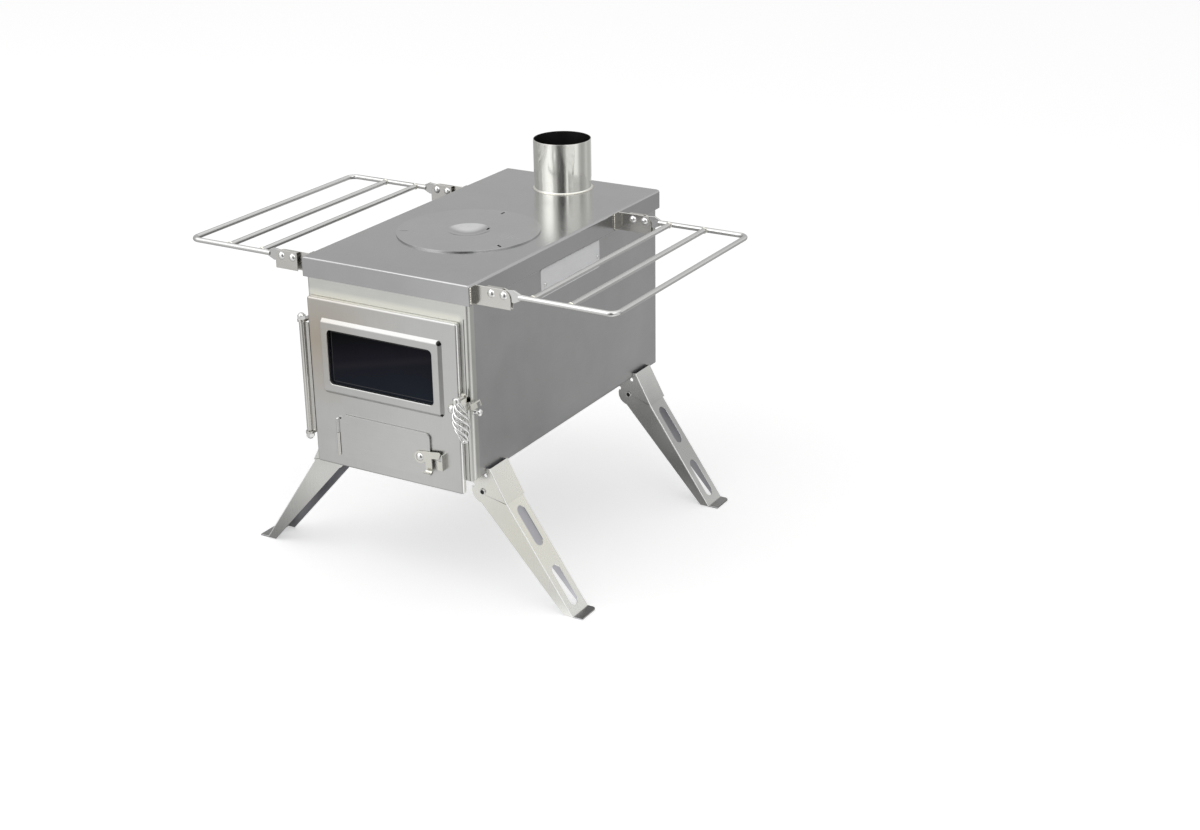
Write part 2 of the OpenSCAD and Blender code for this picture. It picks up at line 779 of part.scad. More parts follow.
module ash_knuckle() color(steel_light) difference() {
    union() {
        translate([ash_x, ash_pin_y, knuckle_z]) cylinder(h = knuckle_low, d = knuckle_d);
        translate([ash_x - sheet / 2, ash_pin_y, knuckle_z])
            cube([sheet, door_y - ash_pin_y, knuckle_low]);
    }
    translate([ash_x, ash_pin_y, knuckle_z - eps]) cylinder(h = knuckle_low + 2 * eps, d = ash_pin_d);
}

module ash_hinge_pin() color(steel_bright) {
    top = knuckle_top + knuckle_high;
    translate([ash_x, ash_pin_y, knuckle_z]) cylinder(h = top + pin_rise - knuckle_z, d = ash_pin_d);
    translate([ash_x, ash_pin_y, top + pin_rise]) dome(0.9 * knuckle_d, 0.8);
}

module ash_door() color(steel) difference() {
    union() {
        difference() {
            xz(ash_y, ash_deep) ash_outline(0);
            xz(ash_y + sheet, ash_deep) ash_outline(sheet);
        }
        translate([ash_x, ash_pin_y, knuckle_top]) cylinder(h = knuckle_high, d = knuckle_d);
        translate([ash_x, ash_y, knuckle_top]) cube([ash_edge + sheet, sheet, knuckle_high]);
    }
    translate([ash_x, ash_pin_y, knuckle_top - eps])
        cylinder(h = knuckle_high + 2 * eps, d = ash_pin_d + 2 * ash_pin_play);
    translate([ash_piv_x, ash_y - eps, ash_piv_z]) rotate([-90, 0, 0])
        cylinder(h = 2 * ash_deep, d = rivet_d);
}

// Outline of the ash door, set in by the given amount, its upper hinge corner cut off
module ash_outline(inset) difference() {
    rect_round(ash_x + ash_edge + inset, ash_z0 + inset, ash_x1 - inset, ash_z1 - inset,
        max(ash_r - inset, 0.5));
    translate([ash_x + ash_edge + inset, ash_z1 - inset]) rotate(45) square(1.6 * ash_r, center = true);
}

// Rivet through a plate: domed head in front, shank, spacer, flat head behind
module pivot_rivet(head_y, plate_y, plate_t, spacer_t) {
    translate([0, head_y, 0]) rotate([90, 0, 0]) dome(rivet_head, rivet_dome);
    translate([0, head_y - eps, 0]) rotate([-90, 0, 0])
        cylinder(h = plate_y + plate_t + back_head_t - head_y + eps, d = rivet_d);
    translate([0, plate_y - spacer_t, 0]) rotate([-90, 0, 0]) cylinder(h = spacer_t, d = back_head);
    translate([0, plate_y + plate_t, 0]) rotate([-90, 0, 0]) cylinder(h = back_head_t, d = back_head);
}

module ash_latch_rivet() color(steel_bright) translate([ash_piv_x, 0, ash_piv_z])
    pivot_rivet(ash_lever_y - lever_play, ash_y, sheet, latch_play - lever_play);

module ash_latch_lever() color(steel_light) translate([ash_piv_x, 0, ash_piv_z]) {
    tab_x = ash_lever_r - 0.2;
    tab_z = -ash_piv_up + 5.8 + tab_r;
    root = -0.6 * ash_lever_r;
    difference() {
        xz(ash_lever_y, latch_t) {
            circle(ash_lever_r);
            polygon([
                [0, ash_lever_r], [ash_lever_l - 1, ash_nose_up + ash_nose_w],
                [ash_lever_l, ash_nose_up + ash_nose_w - 2], [ash_lever_l - 2, ash_nose_up],
                [tab_x + tab_w, ash_nose_up - 1], [tab_x + tab_w, tab_z],
                [tab_x, tab_z], [tab_x, root], [0, -ash_lever_r]]);
        }
        translate([0, ash_lever_y - eps, 0]) rotate([-90, 0, 0])
            cylinder(h = latch_t + 2 * eps, d = rivet_d + 2 * lever_play);
    }
    translate([tab_x, ash_lever_y + latch_t - tab_r, tab_z]) rotate([0, 90, 0]) difference() {
        cylinder(h = tab_w, r = tab_r);
        translate([0, 0, -eps]) cylinder(h = tab_w + 2 * eps, r = tab_r - latch_t);
        translate([-2 * tab_r, -2 * tab_r, -eps]) cube([2 * tab_r, 4 * tab_r, tab_w + 2 * eps]);
    }
}

module ash_keeper() color(steel_light) {
    translate([keeper_x, keeper_y, keeper_z]) cube([latch_t, door_y - keeper_y, keeper_h]);
    translate([keeper_x + latch_t - keeper_hook_l, keeper_y, keeper_z])
        cube([keeper_hook_l, latch_t, keeper_hook_h]);
}

// ---------- fire door latch ----------

module latch_rivet() color(steel_bright) translate([piv_x, 0, piv_h])
    pivot_rivet(lever_y - lever_play, door_y, sheet, latch_play - lever_play);

module latch_lever() color(steel_light) {
    nose_back_y = stud_y + notch_top + lever_t;
    arm_root = 0.9 * pin_side;
    difference() {
        translate([piv_x, 0, piv_h]) {
            xz(lever_y, lever_t) {
                rotate(latch_rise) {
                    circle(d = 1.3 * lever_w);
                    translate([0, -lever_w / 2]) square([nose_u + lever_t, lever_w]);
                }
                strap(arm_root * [1, tan(latch_rise)], [pin_side, pin_up], pin_d + 2.8);
            }
            rotate([0, -latch_rise, 0]) yz(nose_u, lever_t) difference() {
                translate([lever_y, notch_v - nose_leg])
                    square([nose_back_y - lever_y, nose_leg + nose_back]);
                translate([stud_y - notch_top, notch_v - 2 * nose_leg])
                    square([2 * notch_top, 2 * nose_leg]);
            }
        }
        translate([piv_x, lever_y - eps, piv_h]) rotate([-90, 0, 0])
            cylinder(h = lever_t + 2 * eps, d = rivet_d + 2 * lever_play);
    }
    translate([pin_x, basket_y - cap_r, pin_z]) rotate([-90, 0, 0])
        cylinder(h = lever_y - basket_y + cap_r + eps, d = pin_d);
}

// Radius and turn of a strand at a share t of the basket's length
function strand_r(t) = basket_end_r + (basket_r - basket_end_r) * pow(sin(180 * t), 1.2);
function strand_at(k, t) = let (a = 360 * (k / strands + basket_turns * t))
    [strand_r(t) * cos(a), strand_r(t) * sin(a), -basket_l * t];

// Tube through points, each ring set square to the run; u points away from the axis
module tube(points, d, sides) {
    last = len(points) - 1;
    rings = [for (i = [0:last]) let (
        run = points[min(i + 1, last)] - points[max(i - 1, 0)],
        t = run / norm(run),
        out = [points[i][0], points[i][1], 0],
        side = out - (out * t) * t,
        u = side / norm(side),
        v = cross(t, u))
        for (j = [0:sides - 1]) points[i] + d / 2 * (cos(360 * j / sides) * u + sin(360 * j / sides) * v)];
    polyhedron(rings, concat(
        [for (i = [0:last - 1], j = [0:sides - 1]) let (k = (j + 1) % sides)
            [i * sides + j, (i + 1) * sides + j, (i + 1) * sides + k]],
        [for (i = [0:last - 1], j = [0:sides - 1]) let (k = (j + 1) % sides)
            [i * sides + j, (i + 1) * sides + k, i * sides + k]],
        [for (j = [1:sides - 2]) [0, j, j + 1]],
        [for (j = [1:sides - 2]) [last * sides, last * sides + j + 1, last * sides + j]]));
}

module twisted_handle() color(steel_bright) difference() {
    rings = 16;
    translate([pin_x, basket_y, pin_z]) rotate([0, -basket_lean, 0]) {
        translate([0, 0, -cap_h / 2]) cylinder(h = cap_h, r = cap_r);
        translate([0, 0, -cap_h / 2 + 1]) for (k = [0:strands - 1])
            tube([for (i = [0:rings]) strand_at(k, i / rings)], strand_d, 8);
        translate([0, 0, -cap_h / 2 - basket_l]) cylinder(h = 3, r = cap_r);
    }
    translate([pin_x, basket_y - 2 * cap_r, pin_z]) rotate([-90, 0, 0]) cylinder(h = 4 * cap_r, d = pin_d);
}

module latch_stud() color(steel_bright) translate([side_x, stud_y, stud_z]) rotate([0, 90, 0]) {
    cylinder(h = stud_neck, d = stud_d);
    cylinder(h = 1, d = 2 * stud_d);
    translate([0, 0, stud_neck]) dome(stud_head, rivet_dome);
}

// ---------- legs ----------

// Moves a leg from its own frame to a corner: pin at the origin, leg running down -Z,
// its outer face towards +X, its middle on y = 0
module at_leg(side, y) translate([0, y, leg_pin_h]) mirror([side < 0 ? 1 : 0, 0, 0])
    translate([leg_pin_x, 0, 0]) children();

// Side outline of a leg: round head, taper towards the foot
module leg_side() {
    low = leg_long + leg_web_out;
    intersection() {
        union() {
            circle(leg_head_r);
            polygon([
                [leg_web_out, leg_head], [leg_web_out, -low],
                [leg_web_out - leg_deep + leg_taper * low, -low],
                [leg_web_out - leg_deep, 0], [0, 0], [0, leg_head]]);
        }
        rotate(-leg_lean) translate([-4 * low, leg_pin_z - stand_h + leg_t / 2]) square(8 * low);
    }
}

module leg(side, y) color(steel_light) at_leg(side, y) {
    w = side < 0 ? leg_w_left : leg_w;
    rotate([0, -leg_lean, 0]) difference() {
        xz(-w / 2, w) leg_side();
        xz(-w / 2 + leg_t, w - 2 * leg_t) translate([-leg_deep, -2 * leg_long])
            square([leg_deep + leg_web_out - leg_t, 4 * leg_long]);
        translate([0, w, 0]) rotate([90, 0, 0]) cylinder(h = 2 * w, r = leg_pin_d / 2 + leg_pin_play);
        for (from = [leg_slot_from, leg_slot_from + leg_slot_l + leg_slot_gap])
            yz(leg_web_out - 2 * leg_t, 3 * leg_t)
                strap([0, -from - leg_slot_w / 2], [0, -from - leg_slot_l + leg_slot_w / 2], leg_slot_w);
    }
    foot(w);
}

// Turned-out tab that stands on the floor, its back corner round
module foot(w) {
    low = leg_pin_z - stand_h;
    root = leg_web_out / cos(leg_lean) - low * tan(leg_lean);
    inside = root - leg_t / cos(leg_lean) - 0.75 * leg_t * tan(leg_lean);
    tip = root + foot_tab;
    r = foot_tab / 2;
    foot_w = w - leg_t;
    translate([0, 0, low]) linear_extrude(leg_t) {
        translate([inside, -foot_w / 2]) square([tip - r - inside, foot_w]);
        translate([inside, -foot_w / 2]) square([tip - inside, foot_w - r]);
        translate([tip - r, foot_w / 2 - r]) circle(r);
    }
}

module sleeve(side, y) color(steel_light) at_leg(side, y) {
    w = (side < 0 ? leg_w_left : leg_w) + 2 * (leg_play + sleeve_t);
    down = [sin(leg_lean), -cos(leg_lean)];
    out = [cos(leg_lean), sin(leg_lean)];
    low = sleeve_reach * down + (leg_web_out + leg_stop_play) * out;
    run = [-sin(sleeve_lean), cos(sleeve_lean)];
    thick = sleeve_t * [cos(sleeve_lean), sin(sleeve_lean)];
    high = low + run * (leg_pin_z + sleeve_up - low[1]) / run[1];
    wall = leg_pin_in + 0.2;
    difference() {
        union() {
            for (y0 = [-w / 2, w / 2 - sleeve_t]) xz(y0, sleeve_t) {
                circle(sleeve_ear_r);
                polygon([
                    [-0.8 * sleeve_ear_r, leg_pin_z], [wall, leg_pin_z], [wall, leg_pin_z + sleeve_up],
                    high + thick, low + thick, sleeve_ear_r * [cos(110), -sin(110)],
                    [-sleeve_ear_r, 0]]);
            }
            xz(-w / 2, w) polygon([low, low + thick, high + thick, high]);
        }
        translate([0, w, 0]) rotate([90, 0, 0]) cylinder(h = 2 * w, d = leg_pin_d);
        for (p = [[wall - sleeve_relief / 2, leg_pin_z - sleeve_relief / 2], sleeve_ear_r * [cos(155), sin(155)]])
            translate([p[0], w, p[1]]) rotate([90, 0, 0]) cylinder(h = 2 * w, r = sleeve_relief);
    }
}

module leg_pin(side, y) at_leg(side, y) {
    w = (side < 0 ? leg_w_left : leg_w) + 2 * (leg_play + sleeve_t);
    head_t = 0.9;
    rotate([90, 0, 0]) difference() {
        union() {
            cylinder(h = w + 2 * head_t, d = leg_pin_d, center = true);
            for (s = [-1, 1]) translate([0, 0, s * (w + head_t) / 2])
                cylinder(h = head_t, d = leg_pin_head, center = true);
        }
        cylinder(h = 2 * w, d = leg_pin_bore, center = true);
    }
}

module leg_pins() color(steel_bright) for (side = [-1, 1], y = leg_ys) leg_pin(side, y);

module sleeve_front_left() sleeve(-1, leg_ys[0]);
module sleeve_front_right() sleeve(1, leg_ys[0]);
module sleeve_back_left() sleeve(-1, leg_ys[1]);
module sleeve_back_right() sleeve(1, leg_ys[1]);
module leg_front_left() leg(-1, leg_ys[0]);
module leg_front_right() leg(1, leg_ys[0]);
module leg_back_left() leg(-1, leg_ys[1]);
module leg_back_right() leg(1, leg_ys[1]);

// ---------- side shelves ----------

// Turns a right-hand bracket half round the upright to make a left-hand one
module at_bracket(side, y) translate([0, y, shelf_z]) rotate(side < 0 ? 180 : 0) children();

module bracket(side, y) color(steel_light) at_bracket(side, y) {
    out_x = pivot_x + bracket_past;
    near = -bracket_gap / 2 - sheet;
    low = bracket_top - bracket_h;
    free_x = pivot_x - rivet_pitch - 6;
    difference() {
        union() {
            xz(near, sheet) intersection() {
                translate([skirt_x, low]) square([out_x - skirt_x, bracket_h]);
                ear_outline(out_x, low);
            }
            xz(bracket_gap / 2, sheet) intersection() {
                translate([free_x, low]) square([out_x - free_x, bracket_h]);
                ear_outline(out_x, low);
            }
            translate([free_x, near, bracket_top - sheet])
                cube([pivot_x - bridge_in - free_x, bracket_gap + 2 * sheet, sheet]);
            yz(skirt_x, sheet) {
                translate([near + sheet - flange_w, low + 4]) square([flange_w, bracket_h - 4]);
                translate([near + sheet - flange_w + 4, low]) square([flange_w - 4, 4 + eps]);
                translate([near + sheet - flange_w + 4, low + 4]) circle(4);
            }
        }
        for (x = [pivot_x, pivot_x - rivet_pitch]) translate([x, 0, 0]) rotate([90, 0, 0])
            cylinder(h = 4 * bracket_gap, d = rivet_d, center = true);
    }
}

// Round upper outer corner and straight lower edge of a bracket's ear
module ear_outline(out_x, low) {
    translate([0, low]) square([out_x, bracket_h - bracket_r]);
    translate([0, low]) square([out_x - bracket_r, bracket_h]);
    translate([out_x - bracket_r, bracket_top - bracket_r]) circle(bracket_r);
}

// Rivet through both ears; the inner one carries a spacer between them
module shelf_rivet(spacer) rotate([90, 0, 0]) {
    half = bracket_gap / 2 + sheet;
    cylinder(h = 2 * half, d = rivet_d, center = true);
    for (s = [0, 180]) rotate([s, 0, 0]) translate([0, 0, half]) dome(shelf_head, rivet_dome);
    if (spacer) cylinder(h = bracket_gap, d = 1.5 * rivet_d, center = true);
}

module shelf_rivets() color(steel_bright) for (side = [-1, 1], y = shelf_ys) at_bracket(side, y) {
    translate([pivot_x, 0, 0]) shelf_rivet(false);
    translate([pivot_x - rivet_pitch, 0, 0]) shelf_rivet(true);
}

// Flattened end of an arm: round about the pivot, widest just outside the bracket
module paddle() {
    wide_x = 0.6 * paddle_l;
    xz(-paddle_t / 2, paddle_t) difference() {
        union() {
            circle(paddle_r);
            polygon([
                [0, -paddle_r], [0, paddle_r], [wide_x, paddle_h / 2], [paddle_l, shelf_wire / 2],
                [paddle_l, -shelf_wire / 2], [wide_x, -paddle_h / 2]]);
        }
        circle(rivet_d / 2 + lever_play);
    }
}

module shelf(side) color(steel_bright) mirror([side < 0 ? 1 : 0, 0, 0]) translate([0, 0, shelf_z]) {
    start = pivot_x + paddle_l - 3;
    out_x = side_x + rail_out;
    for (y = shelf_ys) {
        translate([pivot_x, y, 0]) paddle();
        bar([start, y, 0], [out_x - shelf_bend, y, 0], shelf_wire);
    }
    for (end = [0, 1])
        translate([out_x - shelf_bend, shelf_ys[end] + (end == 0 ? shelf_bend : -shelf_bend), 0])
            rotate(end == 0 ? -90 : 0) rotate_extrude(angle = 90)
                translate([shelf_bend, 0]) circle(d = shelf_wire);
    bar([out_x, shelf_ys[0] + shelf_bend, 0], [out_x, shelf_ys[1] - shelf_bend, 0], shelf_wire);
    for (x = [rail_mid, rail_in])
        bar([side_x + x, shelf_ys[0], 0], [side_x + x, shelf_ys[1], 0], shelf_wire);
}

module bracket_front_left() bracket(-1, shelf_ys[0]);
module bracket_front_right() bracket(1, shelf_ys[0]);
module bracket_back_left() bracket(-1, shelf_ys[1]);
module bracket_back_right() bracket(1, shelf_ys[1]);
module grate_rail_left() grate_rail(-1);
module grate_rail_right() grate_rail(1);
module shelf_left() shelf(-1);
module shelf_right() shelf(1);

firebox_shell();
front_panel();
back_panel();
cooktop();
burner_lid();
flue_collar();
grate_rail_left();
grate_rail_right();
fire_grate();
fire_door();
window_frame();
window_gasket();
window_glass();
glass_retainer();
door_barrel();
hinge_ear_upper();
hinge_ear_lower();
hinge_rod();
hinge_nuts();
ash_knuckle();
ash_hinge_pin();
ash_door();
ash_latch_rivet();
ash_latch_lever();
ash_keeper();
latch_rivet();
latch_lever();
twisted_handle();
latch_stud();
sleeve_front_left();
sleeve_front_right();
sleeve_back_left();
sleeve_back_right();
leg_front_left();
leg_front_right();
leg_back_left();
leg_back_right();
leg_pins();
bracket_front_left();
bracket_front_right();
bracket_back_left();
bracket_back_right();
shelf_rivets();
shelf_left();
shelf_right();
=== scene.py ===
import json
import math
import bmesh
import bpy
from mathutils import Matrix, Vector


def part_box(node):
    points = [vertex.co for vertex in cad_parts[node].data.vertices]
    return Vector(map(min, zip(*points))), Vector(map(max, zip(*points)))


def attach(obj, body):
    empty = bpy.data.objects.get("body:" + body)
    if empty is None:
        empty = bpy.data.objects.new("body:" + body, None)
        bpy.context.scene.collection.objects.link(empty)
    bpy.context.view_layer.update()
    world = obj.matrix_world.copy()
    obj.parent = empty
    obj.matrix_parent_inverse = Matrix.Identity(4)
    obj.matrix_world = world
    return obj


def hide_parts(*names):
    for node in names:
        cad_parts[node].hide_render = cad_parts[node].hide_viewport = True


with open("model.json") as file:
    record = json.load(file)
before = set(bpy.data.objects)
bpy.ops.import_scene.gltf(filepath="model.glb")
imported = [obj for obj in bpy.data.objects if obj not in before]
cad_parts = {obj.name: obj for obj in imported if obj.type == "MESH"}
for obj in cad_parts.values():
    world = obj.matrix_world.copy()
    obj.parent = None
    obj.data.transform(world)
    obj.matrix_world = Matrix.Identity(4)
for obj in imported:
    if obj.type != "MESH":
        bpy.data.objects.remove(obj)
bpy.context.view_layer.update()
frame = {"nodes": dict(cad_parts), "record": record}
nodes = frame["nodes"]
behaviour = frame["record"]["behaviour"]
scene = bpy.context.scene
scene.view_settings.view_transform = "Standard"
mm = 0.001
close = 0.01 * mm  # two places this near each other are the same
anchorOf = {j["name"]: Vector(j["pos_m"]) for j in behaviour["joints"] if "pos_m" in j}
print("frame loaded with", len(nodes), "nodes")


cameraSpot = {
    "place": (1.09334, -1.61852, 0.93146),
    "azimuth": 30.47,
    "elevation": 22.43,
    "roll": -0.82,
    "lens": 57.36,
}


def addCamera():
    az, el, roll = (math.radians(cameraSpot[k]) for k in ("azimuth", "elevation", "roll"))
    back = Vector((math.sin(az) * math.cos(el), -math.cos(az) * math.cos(el), math.sin(el)))
    right = Vector((math.cos(az), math.sin(az), 0))
    up = back.cross(right)
    tiltedRight = math.cos(roll) * right + math.sin(roll) * up
    tiltedUp = math.cos(roll) * up - math.sin(roll) * right
    bpy.ops.object.camera_add(location=cameraSpot["place"])
    camera = bpy.context.object
    camera.rotation_euler = Matrix((tiltedRight, tiltedUp, back)).transposed().to_euler()
    camera.data.sensor_width = 36
    camera.data.lens = cameraSpot["lens"]
    camera.data.clip_end = 100
    scene.camera = camera


class Socket:  # an output socket that can be used in sums
    def __init__(self, tree, output=None):
        self.tree, self.output = tree, output

    def node(self, kind, settings=None, sockets=None, out=0):
        made = self.tree.nodes.new("ShaderNode" + kind)
        for name, value in (settings or {}).items():
            if name == "stops":
                ramp = made.color_ramp
                while len(ramp.elements) < len(value):
                    ramp.elements.new(1)
                for stop, (place, colour) in zip(ramp.elements, value):
                    stop.position, stop.color = place, (*colour, 1)
            else:
                setattr(made, name, value)
        for key, value in (sockets or {}).items():
            if isinstance(value, Socket):
                self.tree.links.new(value.output, made.inputs[key])
            else:
                made.inputs[key].default_value = value
        return Socket(self.tree, made.outputs[out] if made.outputs else None)

    def maths(self, operation, first, second=0.0):
        return self.node("Math", {"operation": operation}, {0: first, 1: second})

    def __add__(self, other):
        return self.maths("ADD", self, other)

    __radd__ = __add__

    def __mul__(self, other):
        return self.maths("MULTIPLY", self, other)

    __rmul__ = __mul__

    def __sub__(self, other):
        return self.maths("SUBTRACT", self, other)

    def __rsub__(self, other):
        return self.maths("SUBTRACT", other, self)

    def __truediv__(self, other):
        return self.maths("DIVIDE", self, other)

    def __abs__(self):
        return self.maths("ABSOLUTE", self)

    def clamped(self):
        return self.maths("MINIMUM", self.maths("MAXIMUM", self, 0.0), 1.0)

    def mixed(self, first, second):  # the first colour where this is 0, the second where it is 1
        first, second = ((*c, 1) if isinstance(c, tuple) else c for c in (first, second))
        return self.node("Mix", {"data_type": "RGBA"}, {0: self, 6: first, 7: second}, 2)

    def ramp(self, *stops):
        return self.node("ValToRGB", {"stops": stops}, {0: self})

    def axes(self):  # x, y and z of a vector
        outs = self.node("SeparateXYZ", sockets={0: self}).output.node.outputs
        return [Socket(self.tree, out) for out in outs]

    def distance(self, spot):
        return self.node("VectorMath", {"operation": "DISTANCE"}, {0: self, 1: spot}, "Value")

    def noise(self, scale, detail, roughness=0.5):
        values = {"Vector": self, "Scale": scale, "Detail": detail, "Roughness": roughness}
        return self.node("TexNoise", sockets=values)


studio = {
    "floorSize": 30,
    "floorColour": (0.86, 0.86, 0.86),
    "floorLift": 0.40,
    "floorMirror": 0.8,  # the share of the floor that metal sees as the tones below
    "mirrorStrength": 0.9,
    "skyForMatt": 0.62,
    "overhead": 1.2,
    "overheadFrom": 0.50,  # the height of a direction at which the ceiling begins, and how softly
    "overheadSoft": 0.25,
    "wallTones": (  # share of a turn, brightness that metal sees there above the floor
        (0.00, 0.50), (0.036, 0.85), (0.107, 0.65), (0.146, 1.20), (0.19, 1.30), (0.224, 1.0),
        (0.264, 0.80), (0.285, 0.22), (0.345, 0.06), (0.374, 0.50), (0.381, 1.7), (0.39, 1.7),
        (0.397, 0.60), (0.45, 0.95), (0.52, 0.95), (0.55, 0.55), (0.62, 0.75), (0.66, 0.95),
        (0.70, 0.80), (0.76, 0.66), (0.90, 0.60)),
    "floorTones": (  # the same on the floor beside the stove
        (0.00, 0.42), (0.035, 0.38), (0.09, 0.70), (0.14, 0.80), (0.165, 0.84), (0.185, 1.08),
        (0.205, 1.10), (0.235, 0.94), (0.30, 0.90), (0.36, 0.88), (0.40, 1.5), (0.44, 1.5),
        (0.47, 0.85), (0.51, 0.90), (0.545, 0.42), (0.57, 0.20), (0.61, 0.38), (0.645, 0.63),
        (0.68, 0.48), (0.72, 0.50), (0.80, 0.62), (0.93, 0.50)),
    "farTones": (  # and further out
        (0.00, 0.42), (0.035, 0.38), (0.09, 0.70), (0.14, 0.80), (0.165, 0.86), (0.185, 1.12),
        (0.205, 1.25), (0.235, 1.10), (0.264, 0.75), (0.285, 0.15), (0.345, 0.03), (0.38, 0.35),
        (0.40, 0.9), (0.44, 0.9), (0.48, 1.1), (0.52, 1.0), (0.55, 0.48), (0.58, 0.34),
        (0.61, 0.38), (0.645, 0.63), (0.68, 0.46), (0.72, 0.46), (0.76, 0.62), (0.80, 1.0),
        (0.85, 0.40), (0.93, 0.35)),
    "farFrom": 0.60,
    "farSoft": 0.1,
    "shadeSpot": (-0.16, 0.02, 0.0),  # metal sees the floor darkest here, under the stove
    "shadeTone": (0.10, 0.10, 0.10),
    "shadeFrom": 0.13,
    "shadeTo": 0.33,
    "lampAim": (0, 0, 0.2),
    "lamps": (  # name, place, size, watts
        ("keyLamp", (-1.6, -2.2, 2.6), 3.6, 34),
        ("fillLamp", (2.2, -1.4, 2.4), 2.0, 10)),
}


def surroundings(direction, tones):  # how bright the studio is in each direction, as metal sees it
    x, y, z = direction.axes()
    bearing = x.maths("ARCTAN2", y, x) / (2 * math.pi) + 0.5
    level = bearing.ramp(*((place, (tone,) * 3) for place, tone in tones))
    above = ((z - studio["overheadFrom"]) / studio["overheadSoft"]).clamped()
    return above.mixed(level, (studio["overhead"],) * 3)


def emptied(holder):  # the socket to build with in a world's or a material's emptied node tree
    holder.use_nodes = True
    holder.node_tree.nodes.clear()
    return Socket(holder.node_tree)


def rayKinds(sheet):  # 1 for rays from the camera, and 1 for reflected rays
    outs = sheet.node("LightPath").output.node.outputs
    return [Socket(sheet.tree, outs[name]) for name in ("Is Camera Ray", "Is Glossy Ray")]


def addSky():
    world = bpy.data.worlds.new("studioSky")
    scene.world = world
    sky = emptied(world)
    seen, glossy = rayKinds(sky)
    direction = sky.node("TexCoord", out="Generated")
    grey = (studio["skyForMatt"],) * 3
    colour = glossy.mixed(grey, surroundings(direction, studio["wallTones"]))
    colour = seen.mixed(colour, (1.0, 1.0, 1.0))
    shade = sky.node("Background", sockets={"Color": colour, "Strength": 1.0})
    sky.node("OutputWorld", sockets={"Surface": shade})


def floorPaper():
    paper = bpy.data.materials.new("floorPaper")
    sheet = emptied(paper)
    seen, glossy = rayKinds(sheet)
    place = sheet.node("TexCoord", out="Object")
    matt = sheet.node("BsdfDiffuse", sockets={"Color": (*studio["floorColour"], 1)})
    glow = {"Color": (1, 1, 1, 1), "Strength": seen * studio["floorLift"]}
    lifted = sheet.node("AddShader", sockets={0: matt, 1: sheet.node("Emission", sockets=glow)})
    shadeReach = studio["shadeTo"] - studio["shadeFrom"]
    lit = ((place.distance(studio["shadeSpot"]) - studio["shadeFrom"]) / shadeReach).clamped()
    out = sheet.node("VectorMath", {"operation": "LENGTH"}, {0: place}, "Value")
    far = ((out - studio["farFrom"]) / studio["farSoft"]).clamped()
    near, outer = (surroundings(place, studio[k]) for k in ("floorTones", "farTones"))
    tone = lit.mixed(studio["shadeTone"], far.mixed(near, outer))
    mirrored = sheet.node("Emission", sockets={"Color": tone, "Strength": studio["mirrorStrength"]})
    both = {0: glossy * studio["floorMirror"], 1: lifted, 2: mirrored}
    sheet.node("OutputMaterial", sockets={"Surface": sheet.node("MixShader", sockets=both)})
    return paper


def addStudio():
    addSky()
    bpy.ops.mesh.primitive_grid_add(
        x_subdivisions=2, y_subdivisions=2, size=studio["floorSize"], location=(0, 0, 0))
    floor = bpy.context.object
    floor.name = "studioFloor"
    floor.data.materials.append(floorPaper())
    for name, place, size, watts in studio["lamps"]:
        bpy.ops.object.light_add(type="AREA", location=place)
        lamp = bpy.context.object
        lamp.name = name
        lamp.data.size = size
        lamp.data.energy = watts
        aim = Vector(studio["lampAim"]) - Vector(place)
        lamp.rotation_euler = aim.to_track_quat("-Z", "Y").to_euler()
    print("studio ready")


addCamera()
addStudio()


def newFinish(name):
    made = bpy.data.materials.new(name)
    sheet = emptied(made)
    return made, sheet, sheet.node("TexCoord", out="Object")


grainStretch = {  # noise per metre, far less along the brushed axis
    "x": (60, 2600, 2600),
    "y": (2600, 60, 2600),
    "z": (2600, 2600, 60),
    "none": (900, 900, 900),
}
sheetLook = {
    "lineScale": 0.7, "cloudScale": 16.0, "markScale": 80.0,
    "lineTone": 0.08, "markTone": 0.05,
    "cloudRough": 0.14, "markRough": 0.06, "lineRough": 0.06,
    "plainRough": 0.3,  # smoother sheet than this varies less
    "bumpHeight": 0.0004, "markBump": 0.4,
    "sootShadeEdge": 0.2 * mm, "sootShadeRough": 0.35,
    "polishEdge": 0.2,
}


